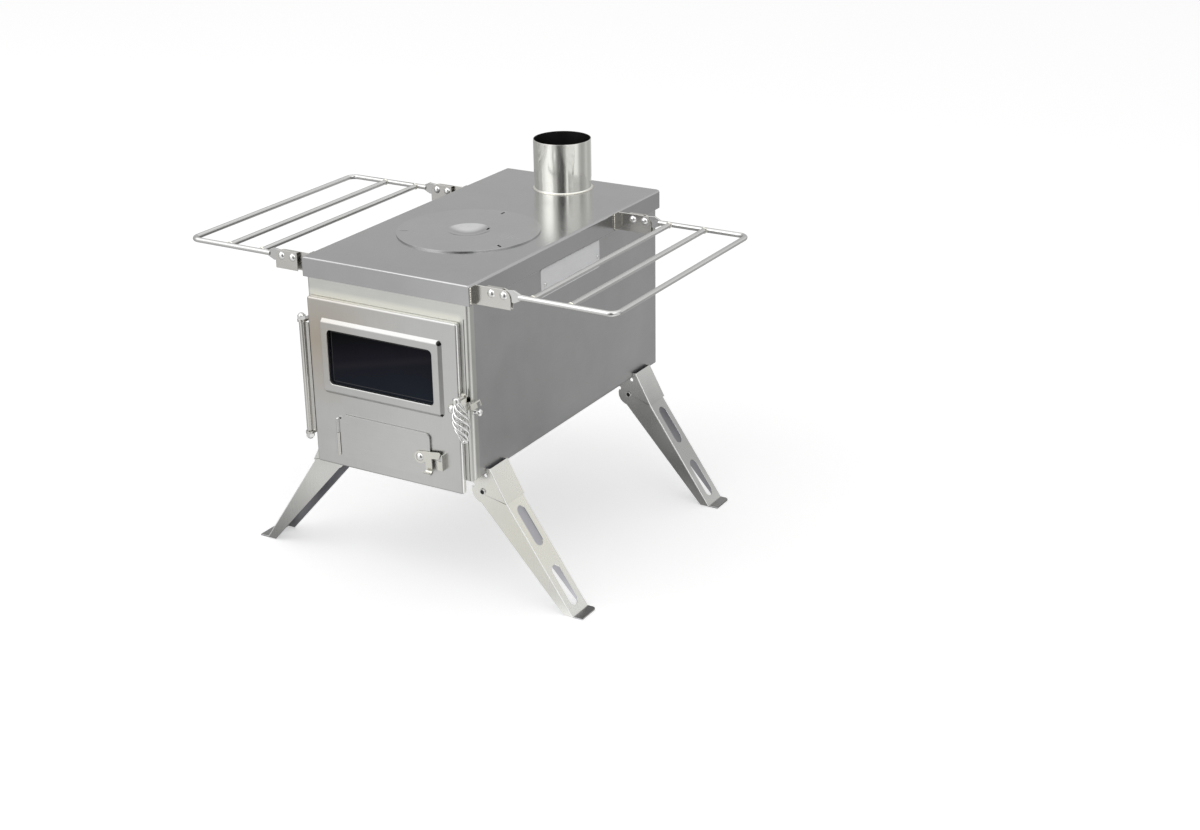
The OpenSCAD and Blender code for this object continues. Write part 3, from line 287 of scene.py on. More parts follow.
def steelFinish(name, colour, rough=0.36, grain="x", grainDepth=0.04, mottle=0.06, tints=(),
                metal=1.0, paintedLightBands=(), soot=None, polish=None):
    # brushed sheet or drawn wire: fine lines along one axis, soft clouds and faint handling marks
    look = sheetLook
    made, sheet, place = newFinish(name)
    lined = sheet.node("Mapping", sockets={"Vector": place, "Scale": grainStretch[grain]})
    lines = lined.noise(look["lineScale"], 1.0)
    clouds = place.noise(look["cloudScale"], 3.0)
    marks = place.noise(look["markScale"], 2.0)
    cloudy = (clouds - 0.5) * (2 * mottle) + 1.0
    shade = cloudy + (lines - 0.5) * look["lineTone"] + (marks - 0.5) * look["markTone"]
    tone = sheet.node("CombineColor", sockets={0: shade, 1: shade, 2: shade})
    multiply = {"data_type": "RGBA", "blend_type": "MULTIPLY"}
    base = sheet.node("Mix", multiply, {0: 1.0, 6: (*colour, 1), 7: tone}, 2)
    for spot, reach, tint, strength in tints:  # round marks that fade out from a spot: heat stains, dark spots, painted shade and painted highlights
        amount = (1.0 - place.distance(spot) / reach).clamped() * (clouds + 0.4) * strength
        base = amount.clamped().mixed(base, tint)
    uneven = (clouds - 0.5) * look["cloudRough"] + (marks - 0.5) * look["markRough"]
    uneven = uneven + (lines - 0.5) * look["lineRough"]
    roughness = uneven * min(1, rough / look["plainRough"]) + rough
    x, y, z = place.axes()
    for (left, right), (low, high), soft, tint, strength in paintedLightBands:  # painted shade and painted highlights with straight edges
        inside = 1.0
        for spot, start, end in ((x, left, right), (z, low, high)):
            inside = ((spot - start) / soft).clamped() * ((end - spot) / soft).clamped() * inside
        base = (inside * (clouds * 0.3 + 0.85) * strength).clamped().mixed(base, tint)
    if soot:  # the inside of a pipe about an upright axis is painted black, for soot and for the shade inside the pipe
        axis, radius, tint = soot
        flat = sheet.node("CombineXYZ", sockets={0: x, 1: y, 2: 0.0})
        inside = ((radius - flat.distance(axis)) / look["sootShadeEdge"]).clamped()
        base = inside.mixed(base, tint)
        roughness = roughness + inside * look["sootShadeRough"]
    if polish:  # a spot that hands have rubbed smooth
        spot, reach, amount = polish
        rubbed = ((reach - place.distance(spot)) / (look["polishEdge"] * reach)).clamped()
        roughness = roughness - rubbed * amount
    bump = sheet.node("Bump", sockets={
        "Strength": grainDepth, "Distance": look["bumpHeight"],
        "Height": lines + marks * look["markBump"]})
    steel = sheet.node("BsdfPrincipled", sockets={
        "Base Color": base, "Metallic": metal, "Roughness": roughness, "Normal": bump})
    sheet.node("OutputMaterial", sockets={"Surface": steel})
    return made


# the first is a real heat stain; the second and third are painted highlights, on the front right leg and
# above the door
heatBrown, warmLegHighlight, warmHighlightWhite = (0.42, 0.33, 0.22), (0.84, 0.81, 0.66), (0.86, 0.86, 0.78)
# the first is near black for soot and shade inside the collar and small dark spots on the lid; the second
# and third are painted shade, in lines, notches and on the feet
nearBlack, paintedShadeBlack, footShadeGrey = (0.045,) * 3, (0.03,) * 3, (0.20,) * 3
# the first two are painted shade, on the legs and beside the door; the third is a painted highlight on the
# door's edge
legShadeGrey, stripShadeGrey, edgeHighlightWhite = (0.42, 0.42, 0.41), (0.60, 0.60, 0.59), (0.96, 0.96, 0.94)
beyond = 1  # metres, past every piece
# places and sizes of heat stains, wear, dark spots, painted shade and painted highlights
stainsAndPaintedLight = {
    "heatSpot": (-0.085, -0.183, 0.262),  # beside the window, on the hinge side
    "heatTop": (-0.02, -0.183, 0.300),
    "shadedStripWidth": 4.4 * mm,  # the strip beside the door with painted shade, which ends in a painted shade line
    "shadeLineWidth": 1.3 * mm,
    "doorHighlightWidth": 0.8 * mm,
    "notchShadeIn": 2.2 * mm,
    "lugOut": 0.070,
    "lugTurns": (90, 210, 330),
    "lidRub": 0.019,
    "footShadeHeight": 4.5 * mm,
    "footShadeFrom": 0.197,
    "sootShadeRadius": 0.0321,
}


def frontFinish():
    low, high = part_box("fire_door")
    end = high.x + stainsAndPaintedLight["shadedStripWidth"]
    shadeLine = (end - 0.3 * mm, end - 0.3 * mm + stainsAndPaintedLight["shadeLineWidth"])
    return steelFinish("frontSteel", (0.66, 0.66, 0.63), 0.34, "x", paintedLightBands=(
        # painted shade on the strip beside the door's right edge
        ((high.x - 1 * mm, end), (low.z, high.z + 1 * mm), 0.5 * mm, stripShadeGrey, 0.5),
        # a painted shade line where the gap beside the door looks dark
        (shadeLine, (low.z, high.z + 4 * mm), 0.4 * mm, paintedShadeBlack, 0.95),
        # a painted highlight band across the front panel just above the door
        ((-0.2, end), (high.z - 3 * mm, high.z + 9 * mm), 5 * mm, warmHighlightWhite, 0.9)))


def doorFinish():
    low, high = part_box("fire_door")
    # a painted highlight along the door's right edge
    edge = ((high.x - stainsAndPaintedLight["doorHighlightWidth"], beyond), (low.z, beyond), 0.4 * mm, edgeHighlightWhite, 1.0)
    return steelFinish("doorSteel", (0.57, 0.57, 0.56), 0.34, "z", paintedLightBands=(edge,), tints=(
        (stainsAndPaintedLight["heatSpot"], 0.075, heatBrown, 0.75), (stainsAndPaintedLight["heatTop"], 0.06, heatBrown, 0.15)))


def windowFrameFinish():
    low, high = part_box("window_frame")
    inset = stainsAndPaintedLight["notchShadeIn"]
    x, y = high.x - inset, low.y + 1.2 * mm
    return steelFinish("windowFrameSteel", (0.56, 0.56, 0.55), 0.32, "x", tints=(
        (stainsAndPaintedLight["heatSpot"], 0.060, heatBrown, 0.40),
        # painted shade in the mitred notches at the frame's top right and bottom right corners
        ((x, y, high.z - inset), 3.4 * mm, paintedShadeBlack, 5),
        ((x, y, low.z + inset), 2.2 * mm, paintedShadeBlack, 5)))


def lidFinish():
    low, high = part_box("burner_lid")
    centre = (low + high) / 2
    lugs = []
    for turn in map(math.radians, stainsAndPaintedLight["lugTurns"]):
        lugs.append(centre + Vector((math.cos(turn), math.sin(turn), 0)) * stainsAndPaintedLight["lugOut"])
    return steelFinish(
        "lidSteel", (0.50, 0.50, 0.50), 0.24, "y", 0.02, polish=(tuple(centre), stainsAndPaintedLight["lidRub"], 0.17),
        # three small near-black spots near the lid's rim, at the lugs
        tints=[(tuple(lug), 3.2 * mm, nearBlack, 4) for lug in lugs])


def legFinish():
    shadedFeet = ((stainsAndPaintedLight["footShadeFrom"], beyond), (-beyond, -stainsAndPaintedLight["footShadeFrom"]))
    return steelFinish(
        "legSteel", (0.79, 0.79, 0.76), 0.27, "z", 0.01, mottle=0.12,
        # painted shade on the foot tabs near the floor
        paintedLightBands=[(foot, (-beyond, stainsAndPaintedLight["footShadeHeight"]), 0.8 * mm, footShadeGrey, 0.8) for foot in shadedFeet],
        # a warm painted highlight on the front right leg, and painted shade on the back legs and the front
        # left foot
        tints=(((0.15, -0.14, 0.09), 0.10, warmLegHighlight, 0.6), ((0.17, 0.16, 0.08), 0.17, legShadeGrey, 1.5),
               ((-0.20, -0.14, 0.03), 0.10, legShadeGrey, 0.8), ((-0.17, 0.16, 0.08), 0.17, legShadeGrey, 1.4)))


def collarFinish():
    low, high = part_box("flue_collar")
    axis = (0, (low.y + high.y) / 2, 0)
    # inside the collar: black for soot and painted shade
    return steelFinish("collarSteel", (0.88, 0.88, 0.83), 0.13, "z", grainDepth=0.004,
                       soot=(axis, stainsAndPaintedLight["sootShadeRadius"], nearBlack))


glassLook = {
    "left": -0.0705, "top": 0.2755,  # the film of soot is thickest at this corner
    "fallAcross": 2.6, "fallDown": 13.0, "fallFrom": 0.14, "cloudy": 0.25,
    # a lighter diagonal band across the glass: a painted reflection
    "reflectionBandSlope": 0.24, "reflectionBandHeight": 0.2505, "reflectionBandWide": 0.006, "reflectionBandStrength": 0.6,
    "reflectionBandColour": (0.020, 0.019, 0.024),
    "middle": (-0.0061, 0.24625), "half": (0.0619, 0.0268),  # of the border line, x and z
    "borderWide": 0.4 * mm, "borderColour": (0.10, 0.10, 0.10),
    "stops": ((0.0, (0.0005, 0.0008, 0.0005)), (0.40, (0.010, 0.010, 0.015)), (1.0, (0.014, 0.018, 0.027))),
}


def glassFinish():
    look = glassLook
    made, sheet, place = newFinish("smokedGlass")
    film, fine = place.noise(22.0, 3.0), place.noise(340.0, 2.0)
    x, y, z = place.axes()
    # darkest at the top left corner, where the film of soot is thickest, and lighter and bluer away from it,
    # partly as a painted reflection
    fall = (x - look["left"]) * look["fallAcross"] + (look["top"] - z) * look["fallDown"]
    fall = (fall + film * look["cloudy"] - look["fallFrom"]).clamped()
    # a lighter diagonal band: a painted reflection
    off = abs(z - x * look["reflectionBandSlope"] - look["reflectionBandHeight"])
    reflectionStreak = (1.0 - off / look["reflectionBandWide"]).clamped() * look["reflectionBandStrength"]
    base = reflectionStreak.mixed(fall.ramp(*look["stops"]), look["reflectionBandColour"])
    (midX, midZ), (halfX, halfZ) = look["middle"], look["half"]
    border = sheet.maths("MAXIMUM", abs(x - midX) - halfX, abs(z - midZ) - halfZ)
    base = (1.0 - abs(border) / look["borderWide"]).clamped().mixed(base, look["borderColour"])
    glass = sheet.node("BsdfPrincipled", sockets={
        "Base Color": base, "Roughness": film * 0.05 + fine * 0.03 + 0.02,
        "IOR": 1.42, "Specular IOR Level": 0.05})
    sheet.node("OutputMaterial", sockets={"Surface": glass})
    return made


def ropeFinish():
    made, sheet, place = newFinish("wovenGasket")
    weave = sheet.node("TexVoronoi", sockets={"Vector": place, "Scale": 1400.0})
    soot = place.noise(120.0, 4.0)
    base = soot.mixed((0.02, 0.02, 0.02), (0.08, 0.078, 0.075))
    bump = sheet.node("Bump", sockets={"Strength": 0.5, "Distance": 0.0003, "Height": weave})
    rope = sheet.node("BsdfPrincipled", sockets={
        "Base Color": base, "Roughness": soot * 0.2 + 0.75, "Normal": bump})
    sheet.node("OutputMaterial", sockets={"Surface": rope})
    return made


finishes = {
    "front": frontFinish(),
    "door": doorFinish(),
    "frame": windowFrameFinish(),
    "ash": steelFinish("ashDoorSteel", (0.58, 0.58, 0.57), 0.34, "x"),
    "side": steelFinish("sideSteel", (0.52, 0.52, 0.52), 0.38, "y", mottle=0.13),
    "top": steelFinish("topSteel", (0.47, 0.47, 0.47), 0.20, "y"),
    "lid": lidFinish(),
    "leg": legFinish(),
    # painted shade: a darker copy of the leg finish for the legs' inside faces
    "legInsideShade": steelFinish("legInsideShadeSteel", (0.56, 0.56, 0.59), 0.40, "z", 0.01, mottle=0.10),
    # painted highlight: a lighter copy of the leg finish for the legs' bends
    "legBendHighlight": steelFinish("legBendHighlightSteel", (0.98, 0.98, 0.96), 0.48, "z", 0.01),
    "hinge": steelFinish("hingeSteel", (0.62, 0.61, 0.58), 0.18, "z", mottle=0.12),
    "bracket": steelFinish("bracketSteel", (0.62, 0.61, 0.58), 0.26, "x", mottle=0.12),
    "wire": steelFinish("wireSteel", (0.62, 0.62, 0.61), 0.17, "x", grainDepth=0.02),
    "bright": steelFinish("brightSteel", (0.76, 0.76, 0.75), 0.12, "none", 0.01, mottle=0.04),
    "collar": collarFinish(),
    "latch": steelFinish("latchSteel", (0.66, 0.65, 0.60), 0.22, "x", mottle=0.12),
    "weld": steelFinish("weldSteel", (0.82, 0.80, 0.72), 0.28, "none", 0.08, mottle=0.20),
    "plate": steelFinish("plateSteel", (0.78, 0.78, 0.79), 0.50, "y", metal=0.12),
    "inner": steelFinish("innerSteel", (0.30, 0.30, 0.30), 0.50, "y", mottle=0.14),
    # painted shade: near black inside the open ends of the leg pins
    "hollow": steelFinish("pinHoleShadeSteel", (0.05, 0.05, 0.05), 0.60, "none"),
    "glass": glassFinish(),
    "gasket": ropeFinish(),
}
finishOf = {  # brackets have the bracket finish; what isn't listed here has the legs'
    "firebox_shell": "side", "back_panel": "side", "front_panel": "front", "cooktop": "top",
    "burner_lid": "lid", "flue_collar": "collar", "grate_rail_left": "inner",
    "grate_rail_right": "inner", "fire_grate": "inner", "fire_door": "door",
    "window_frame": "frame", "window_gasket": "gasket", "window_glass": "glass",
    "glass_retainer": "inner", "door_barrel": "hinge", "hinge_ear_upper": "hinge",
    "hinge_ear_lower": "hinge", "hinge_rod": "bright", "hinge_nuts": "bright",
    "ash_knuckle": "hinge", "ash_hinge_pin": "bright", "ash_door": "ash",
    "ash_latch_rivet": "bright", "ash_latch_lever": "latch", "ash_keeper": "latch",
    "latch_rivet": "bright", "latch_lever": "latch", "twisted_handle": "bright",
    "latch_stud": "bright", "leg_pins": "bright", "shelf_rivets": "bright",
    "shelf_left": "wire", "shelf_right": "wire",
}


def paint(piece, finish):
    piece.data.materials.clear()
    piece.data.materials.append(finishes[finish])


for name, node in nodes.items():
    paint(node, finishOf.get(name) or ("bracket" if name.startswith("bracket") else "leg"))
print("finishes ready")


bodyOf = {node: body for body, members in behaviour["bodies"].items() for node in members}


def pick(*pieces):  # selects only these pieces, the last one active
    bpy.ops.object.select_all(action="DESELECT")
    for piece in pieces:
        piece.select_set(True)
    bpy.context.view_layer.objects.active = pieces[-1]


def editOnly(piece, kind, chosen):  # enters edit mode with only the chosen verts, edges or faces
    pick(piece)
    bpy.ops.object.mode_set(mode="EDIT")
    bpy.ops.mesh.select_mode(type=kind)
    bpy.ops.mesh.select_all(action="DESELECT")
    mesh = bmesh.from_edit_mesh(piece.data)
    parts = {"VERT": mesh.verts, "EDGE": mesh.edges, "FACE": mesh.faces}[kind]
    count = 0
    for part in parts:
        if chosen(part):
            part.select_set(True)
            count += 1
    mesh.select_flush_mode()
    bmesh.update_edit_mesh(piece.data)
    return count


def corner(edge, least=25):  # a convex corner sharper than so many degrees
    return math.degrees(edge.calc_face_angle_signed(0)) > least


def middle(edge):
    return (edge.verts[0].co + edge.verts[1].co) / 2


def run(edge):
    return edge.verts[1].co - edge.verts[0].co


def along(edge, way):  # an edge that runs the given way
    return run(edge).length > close and abs(run(edge).normalized().dot(way)) > 0.9995


def placed(piece):  # the primitive just made, with its place and turn in its mesh
    bpy.ops.object.transform_apply(location=True, rotation=True, scale=True)
    return piece


def copied(node, name, **cuts):  # a node's form as a mesh of its own, its triangles joined
    piece = bpy.data.objects.new(name, nodes[node].data.copy())
    scene.collection.objects.link(piece)
    pick(piece)
    bpy.ops.object.mode_set(mode="EDIT")
    bpy.ops.mesh.select_all(action="SELECT")
    bpy.ops.mesh.remove_doubles(threshold=2e-6)
    bpy.ops.mesh.customdata_custom_splitnormals_clear()
    for axis, places in cuts.items():  # a cut through each hole leaves no face with a hole in it
        normal = [float(axis == a) for a in "xyz"]
        for place in places:
            bpy.ops.mesh.select_all(action="SELECT")
            bpy.ops.mesh.bisect(plane_co=[place * n for n in normal], plane_no=normal, threshold=1e-6)
            bpy.ops.mesh.mark_seam(clear=False)
    bpy.ops.mesh.select_all(action="SELECT")
    bpy.ops.mesh.dissolve_limited(angle_limit=math.radians(0.3), delimit={"SEAM"})
    bpy.ops.mesh.mark_seam(clear=True)
    bpy.ops.object.mode_set(mode="OBJECT")
    return piece


def folded(piece, radius, steps, chosen):  # rounds the chosen edges as a press brake would
    if editOnly(piece, "EDGE", lambda e: len(e.link_faces) == 2 and chosen(e)):
        bpy.ops.mesh.bevel(offset=radius, segments=steps, affect="EDGES", clamp_overlap=False)
    bpy.ops.object.mode_set(mode="OBJECT")


def eased(piece, width, least=55):  # takes the sharpness off the cut edges that are left
    folded(piece, width, 2, lambda e: corner(e, least) and run(e).length > 0.3 * width)


def dented(piece, depth, chosen):  # presses the chosen faces in
    editOnly(piece, "FACE", chosen)
    bpy.ops.transform.shrink_fatten(value=-depth)
    bpy.ops.object.mode_set(mode="OBJECT")


def added(piece, node, finish, smooth=35):  # a piece that goes with a CAD node
    pick(piece)
    bpy.ops.object.transform_apply(location=True, rotation=True, scale=True)
    bpy.ops.object.shade_smooth_by_angle(angle=math.radians(smooth))
    bpy.ops.object.modifier_add(type="WEIGHTED_NORMAL")
    piece.modifiers[-1].keep_sharp = True
    bpy.ops.object.modifier_apply(modifier=piece.modifiers[-1].name)
    paint(piece, finish)
    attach(piece, bodyOf[node])


def finished(piece, node, finish, smooth=35):  # a piece that stands for a CAD node
    added(piece, node, finish, smooth)
    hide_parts(node)


def joined(pieces, name):
    pick(*pieces)
    if len(pieces) > 1:
        bpy.ops.object.join()
    whole = bpy.context.object
    whole.name = name
    whole.data.name = name
    bpy.ops.object.mode_set(mode="EDIT")
    bpy.ops.mesh.select_all(action="SELECT")
    bpy.ops.mesh.remove_doubles(threshold=1e-6)
    bpy.ops.mesh.normals_make_consistent(inside=False)
    bpy.ops.object.mode_set(mode="OBJECT")
    return whole


doorShape = {
    "fold": 2.4 * mm,
    "steps": 6,
    "rimWidth": 1.2 * mm,
    "frameFold": 1.0 * mm,
    "ashFold": 0.9 * mm,
    "knuckleReach": 8 * mm,  # the ash door's knuckle keeps its form this far in
}


def onFront(front):  # tests for a corner edge that lies in the front face
    return lambda e: corner(e, 20) and abs(middle(e).y - front) < close and abs(run(e).y) < close


def addFireDoor():
    low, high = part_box("fire_door")

    def outer(edge):
        c = middle(edge)
        onFace = abs(c.y - low.y) < close and abs(run(edge).y) < close
        toRim = min(c.x - low.x, high.x - c.x, c.z - low.z, high.z - c.z)
        return onFace and toRim < doorShape["rimWidth"] and corner(edge, 60)

    piece = copied("fire_door", "fireDoorSkin", x=(0, anchorOf["latch_turn"].x))
    folded(piece, doorShape["fold"], doorShape["steps"], outer)
    finished(piece, "fire_door", "door")


def addWindowFrame():
    low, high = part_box("window_frame")
    piece = copied("window_frame", "windowFrameSkin", z=(246.2 * mm,))
    folded(piece, doorShape["frameFold"], 3, onFront(low.y))
    finished(piece, "window_frame", "frame")


def addAshDoor():
    low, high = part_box("ash_door")
    reach = low.x + doorShape["knuckleReach"]
    piece = copied("ash_door", "ashDoorSkin", z=(anchorOf["ash_latch_turn"].z,))
    folded(piece, doorShape["ashFold"], 3, lambda e: onFront(low.y)(e) and middle(e).x > reach)
    finished(piece, "ash_door", "ash")


topShape = {
    "cornerFold": 1.4 * mm,
    "cornerReach": 3.1 * mm,
    "rim": 0.3 * mm,
    "longEdge": 20 * mm,
    "lidEdge": 0.35 * mm,
    "lidStep": 7 * mm,  # edges of the lid's round rim are shorter than this
    "collarRim": 0.35 * mm,
    "collarStep": 17 * mm,  # the collar is a little narrower up to here
    "collarSlope": 1.2 * mm,
    "collarFoot": 0.988,
    "collarBead": 0.85 * mm,
    "beadIn": 0.9 * mm,
    "beadUp": 0.2 * mm,
    "beadDent": 0.22 * mm,
    "ripples": 60,
}


def addCooktop():
    low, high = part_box("cooktop")

    def upright(edge):
        c = middle(edge)
        toCorner = max(min(c.x - low.x, high.x - c.x), min(c.y - low.y, high.y - c.y))
        steep = abs(run(edge).z) > 0.1 * run(edge).length
        return toCorner < topShape["cornerReach"] and corner(edge, 20) and steep

    def skirtRim(edge):
        level = abs(middle(edge).z - low.z) < close and abs(run(edge).z) < 0.1 * close
        return level and corner(edge, 60) and run(edge).length > topShape["longEdge"]

    piece = copied("cooktop", "cooktopSkin", x=(0,))
    folded(piece, topShape["cornerFold"], 4, upright)
    folded(piece, topShape["rim"], 2, skirtRim)
    for vertex in piece.data.vertices:  # the folds stay within the node's own depth
        vertex.co.y = min(vertex.co.y, high.y)
    finished(piece, "cooktop", "top")


def addLid():
    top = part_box("burner_lid")[1].z

    def rim(edge):
        onTop = abs(middle(edge).z - top) < close
        return onTop and corner(edge, 60) and run(edge).length < topShape["lidStep"]

    piece = copied("burner_lid", "burnerLidSkin", x=(0,), y=(-60 * mm,))
    folded(piece, topShape["lidEdge"], 2, rim)
    finished(piece, "burner_lid", "lid", 24)


def addCollar():
    low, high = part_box("flue_collar")
    step, foot = low.z + topShape["collarStep"], topShape["collarFoot"]
    piece = copied("flue_collar", "flueCollarSkin", x=(0,), z=(step, step + topShape["collarSlope"]))
    folded(piece, topShape["collarRim"], 2, lambda e: abs(middle(e).z - high.z) < close and corner(e, 60))
    editOnly(piece, "VERT", lambda v: v.co.z < step + 0.1 * mm)
    bpy.ops.transform.resize(value=(foot, foot, 1), center_override=(low + high) / 2)
    bpy.ops.object.mode_set(mode="OBJECT")
    finished(piece, "flue_collar", "collar", 30)


def addCollarWeld():
    low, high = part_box("flue_collar")
    centre = (low + high) / 2
    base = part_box("cooktop")[1].z + topShape["beadUp"]
    turn = 2 * math.pi / topShape["ripples"]

    def hollow(face):
        spot = face.calc_center_median() - centre
        return math.atan2(spot.y, spot.x) % turn < turn / 3

    bpy.ops.object.select_all(action="DESELECT")
    bpy.ops.mesh.primitive_torus_add(
        location=(centre.x, centre.y, base), major_radius=(high.x - low.x) / 2 - topShape["beadIn"],
        minor_radius=topShape["collarBead"], major_segments=3 * topShape["ripples"], minor_segments=10)
    ring = placed(bpy.context.object)
    dented(ring, topShape["beadDent"], hollow)
    added(joined([ring], "collarWeld"), "flue_collar", "weld", 80)


legShape = {
    "leg": {"lean": 34.6, "bend": 1.6 * mm},
    "sleeve": {"lean": 28.6, "bend": 1.3 * mm},
    "edge": 0.3 * mm,
    "wall": 0.4 * mm,
    "shortest": 3 * mm,
}
legJoints = {
    "front_left": "leg_fl_fold",
    "front_right": "leg_fr_fold",
    "back_left": "leg_bl_fold",
    "back_right": "leg_br_fold",
}


def channel(kind, where):  # a leg or its sleeve: a folded channel with two side flanges
    node = kind + "_" + where
    low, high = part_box(node)
    pin = anchorOf[legJoints[where]]
    side = math.copysign(1, pin.x)
    tilt = math.radians(legShape[kind]["lean"])
    way = Vector((side * math.sin(tilt), 0, -math.cos(tilt)))
    out = Vector((side * math.cos(tilt), 0, math.sin(tilt)))
    across = {"y": (pin.y,)} if kind == "leg" else {}
    piece = copied(node, kind + "Skin" + where.title().replace("_", ""), z=(pin.z,), **across)
    webs = [f for f in piece.data.polygons if f.normal.dot(out) > 0.999]
    far = max(piece.data.vertices[v].co.dot(out) for f in webs for v in f.vertices) - 5 * close

    def bendEdge(edge):
        c = middle(edge)
        atSide = min(c.y - low.y, high.y - c.y) < 5 * close
        longEnough = run(edge).length > legShape["shortest"]
        return along(edge, way) and c.dot(out) > far and atSide and longEnough

    folded(piece, legShape[kind]["bend"], 4, bendEdge)
    eased(piece, legShape["edge"])
    finished(piece, node, "leg")
    # inside faces get a darker painted-shade copy of the leg finish, bend faces a lighter painted-highlight
    # copy
    for finish in ("legInsideShade", "legBendHighlight"):
        piece.data.materials.append(finishes[finish])
    mid = (low.y + high.y) / 2
    wall = (high.y - low.y) / 2 - legShape["wall"]
    for face in piece.data.polygons:
        facing, sideways = face.normal.dot(out), abs(face.normal.y)
        if facing < -0.9 or (sideways > 0.9 and abs(face.center.y - mid) < wall):
            face.material_index = 1
        elif 0.3 < facing < 0.95 and 0.3 < sideways < 0.95:
            face.material_index = 2


pinShape = {
    "reach": {-1: 19.7 * mm, 1: 17.9 * mm},  # from the leg's middle; the left pair is wider
    "radius": 3.39 * mm,
    "depth": 1.2 * mm,
    "wall": 1.1 * mm,
    "hollow": 0.5 * mm,
    "edge": 0.35 * mm,
}


def pinCup(spot, end):  # the open end of a tubular pin
    bpy.ops.object.select_all(action="DESELECT")
    bpy.ops.mesh.primitive_cylinder_add(
        vertices=36, radius=pinShape["radius"], depth=pinShape["depth"], location=spot,
        rotation=(math.pi / 2, 0, 0))
    cup = placed(bpy.context.object)
    editOnly(cup, "FACE", lambda f: f.normal.y * end > 0.9)
    bpy.ops.mesh.inset(thickness=pinShape["wall"])
    bpy.ops.mesh.extrude_region_move(TRANSFORM_OT_translate={"value": (0, -end * pinShape["hollow"], 0)})
    bpy.ops.object.mode_set(mode="OBJECT")
    rim = spot.y + end * pinShape["depth"] / 2
    folded(cup, pinShape["edge"], 3, lambda e: corner(e, 60) and abs(middle(e).y - rim) < close)
    return cup


def addPinCups():
    pins = [anchorOf[legJoints[where]] for where in ("front_left", "back_left", "front_right", "back_right")]
    cups = []
    for pin in pins:
        reach = pinShape["reach"][int(math.copysign(1, pin.x))]
        cups += [pinCup(pin + Vector((0, end * reach, 0)), end) for end in (-1, 1)]
    rings = joined(cups, "pinCups")
    added(rings, "leg_pins", "bright", 40)
    # faces inside each pin's open end get the near-black painted shade
    rings.data.materials.append(finishes["hollow"])
    hole = 1.001 * (pinShape["radius"] - pinShape["wall"])
    for face in rings.data.polygons:
        pin = min(pins, key=lambda p: (p - face.center).length)
        reach = pinShape["reach"][int(math.copysign(1, pin.x))]
        away = math.hypot(face.center.x - pin.x, face.center.z - pin.z)
        deep = abs(abs(face.center.y - pin.y) - reach)
        face.material_index = int(away < hole and deep < 0.55 * mm)


fittings = {  # how far the edges are eased, the finish, and a plane through the holes
    "ash_latch_lever": (0.3, "latch", {"z": anchorOf["ash_latch_turn"].z}),
    "ash_keeper": (0.3, "latch", {"z": 150 * mm}),
    "latch_lever": (0.35, "latch", {"z": anchorOf["latch_turn"].z}),
    "door_barrel": (0.4, "hinge", {"y": anchorOf["door_hinge"].y}),
    "bracket_front_left": (0.45, "bracket", {"z": anchorOf["shelf_l_fold"].z}),
    "bracket_front_right": (0.45, "bracket", {"z": anchorOf["shelf_r_fold"].z}),
    "bracket_back_left": (0.45, "bracket", {"z": anchorOf["shelf_l_fold"].z}),
    "bracket_back_right": (0.45, "bracket", {"z": anchorOf["shelf_r_fold"].z}),
    "hinge_ear_upper": (0.4, "hinge", {"x": anchorOf["door_hinge"].x}),
    "hinge_ear_lower": (0.4, "hinge", {"x": anchorOf["door_hinge"].x}),
    "shelf_left": (0.5, "wire", {"x": anchorOf["shelf_l_fold"].x}),
    "shelf_right": (0.5, "wire", {"x": anchorOf["shelf_r_fold"].x}),
}


def easeFittings():
    for node, (width, finish, cut) in fittings.items():
        first, *rest = node.split("_")
        name = first + "".join(word.title() for word in rest) + "Skin"
        piece = copied(node, name, **{axis: (place,) for axis, place in cut.items()})
        eased(piece, width * mm)
        finished(piece, node, finish)
    print("fittings eased")


handleShape = {
    "pin": (94.5 * mm, -196.75 * mm, 233.5 * mm),
    "lean": 11,
    "strands": 6,
    "turns": 0.9,
    "length": 40 * mm,
    "swell": 7.6 * mm,
    "neck": 2.6 * mm,
    "wire": 2.75 * mm,
    "steps": 44,
    "cap": 6.6 * mm,
    "capDome": 2.2 * mm,
    "button": 3.4 * mm,
    "buttonIn": 1.5 * mm,
}


def strandSpot(k, t):  # a place on strand k, from t = 0 at the top to 1 at the bottom
    shape = handleShape
    swelling = max(math.sin(math.pi * t), 0) ** 1.2
    reach = shape["neck"] + (shape["swell"] - shape["neck"]) * swelling
    turn = 2 * math.pi * (k / shape["strands"] + shape["turns"] * t)
    down = 1 * mm - shape["cap"] / 2 - shape["length"] * t
    return Vector((reach * math.cos(turn), reach * math.sin(turn), down))


def handleStrands(tilt):
    shape = handleShape
    bundle = bpy.data.curves.new("handleStrands", "CURVE")
    bundle.dimensions = "3D"
    bundle.bevel_depth = shape["wire"] / 2
    bundle.bevel_resolution = 4
    bundle.use_fill_caps = True
    for k in range(shape["strands"]):
        strand = bundle.splines.new("POLY")
        strand.points.add(shape["steps"] - 1)
        for i, point in enumerate(strand.points):
            point.co = (*(tilt @ strandSpot(k, i / (shape["steps"] - 1))), 1)
    wires = bpy.data.objects.new("handleStrands", bundle)
    scene.collection.objects.link(wires)
    pick(wires)
    bpy.ops.object.convert(target="MESH")
    return bpy.context.object


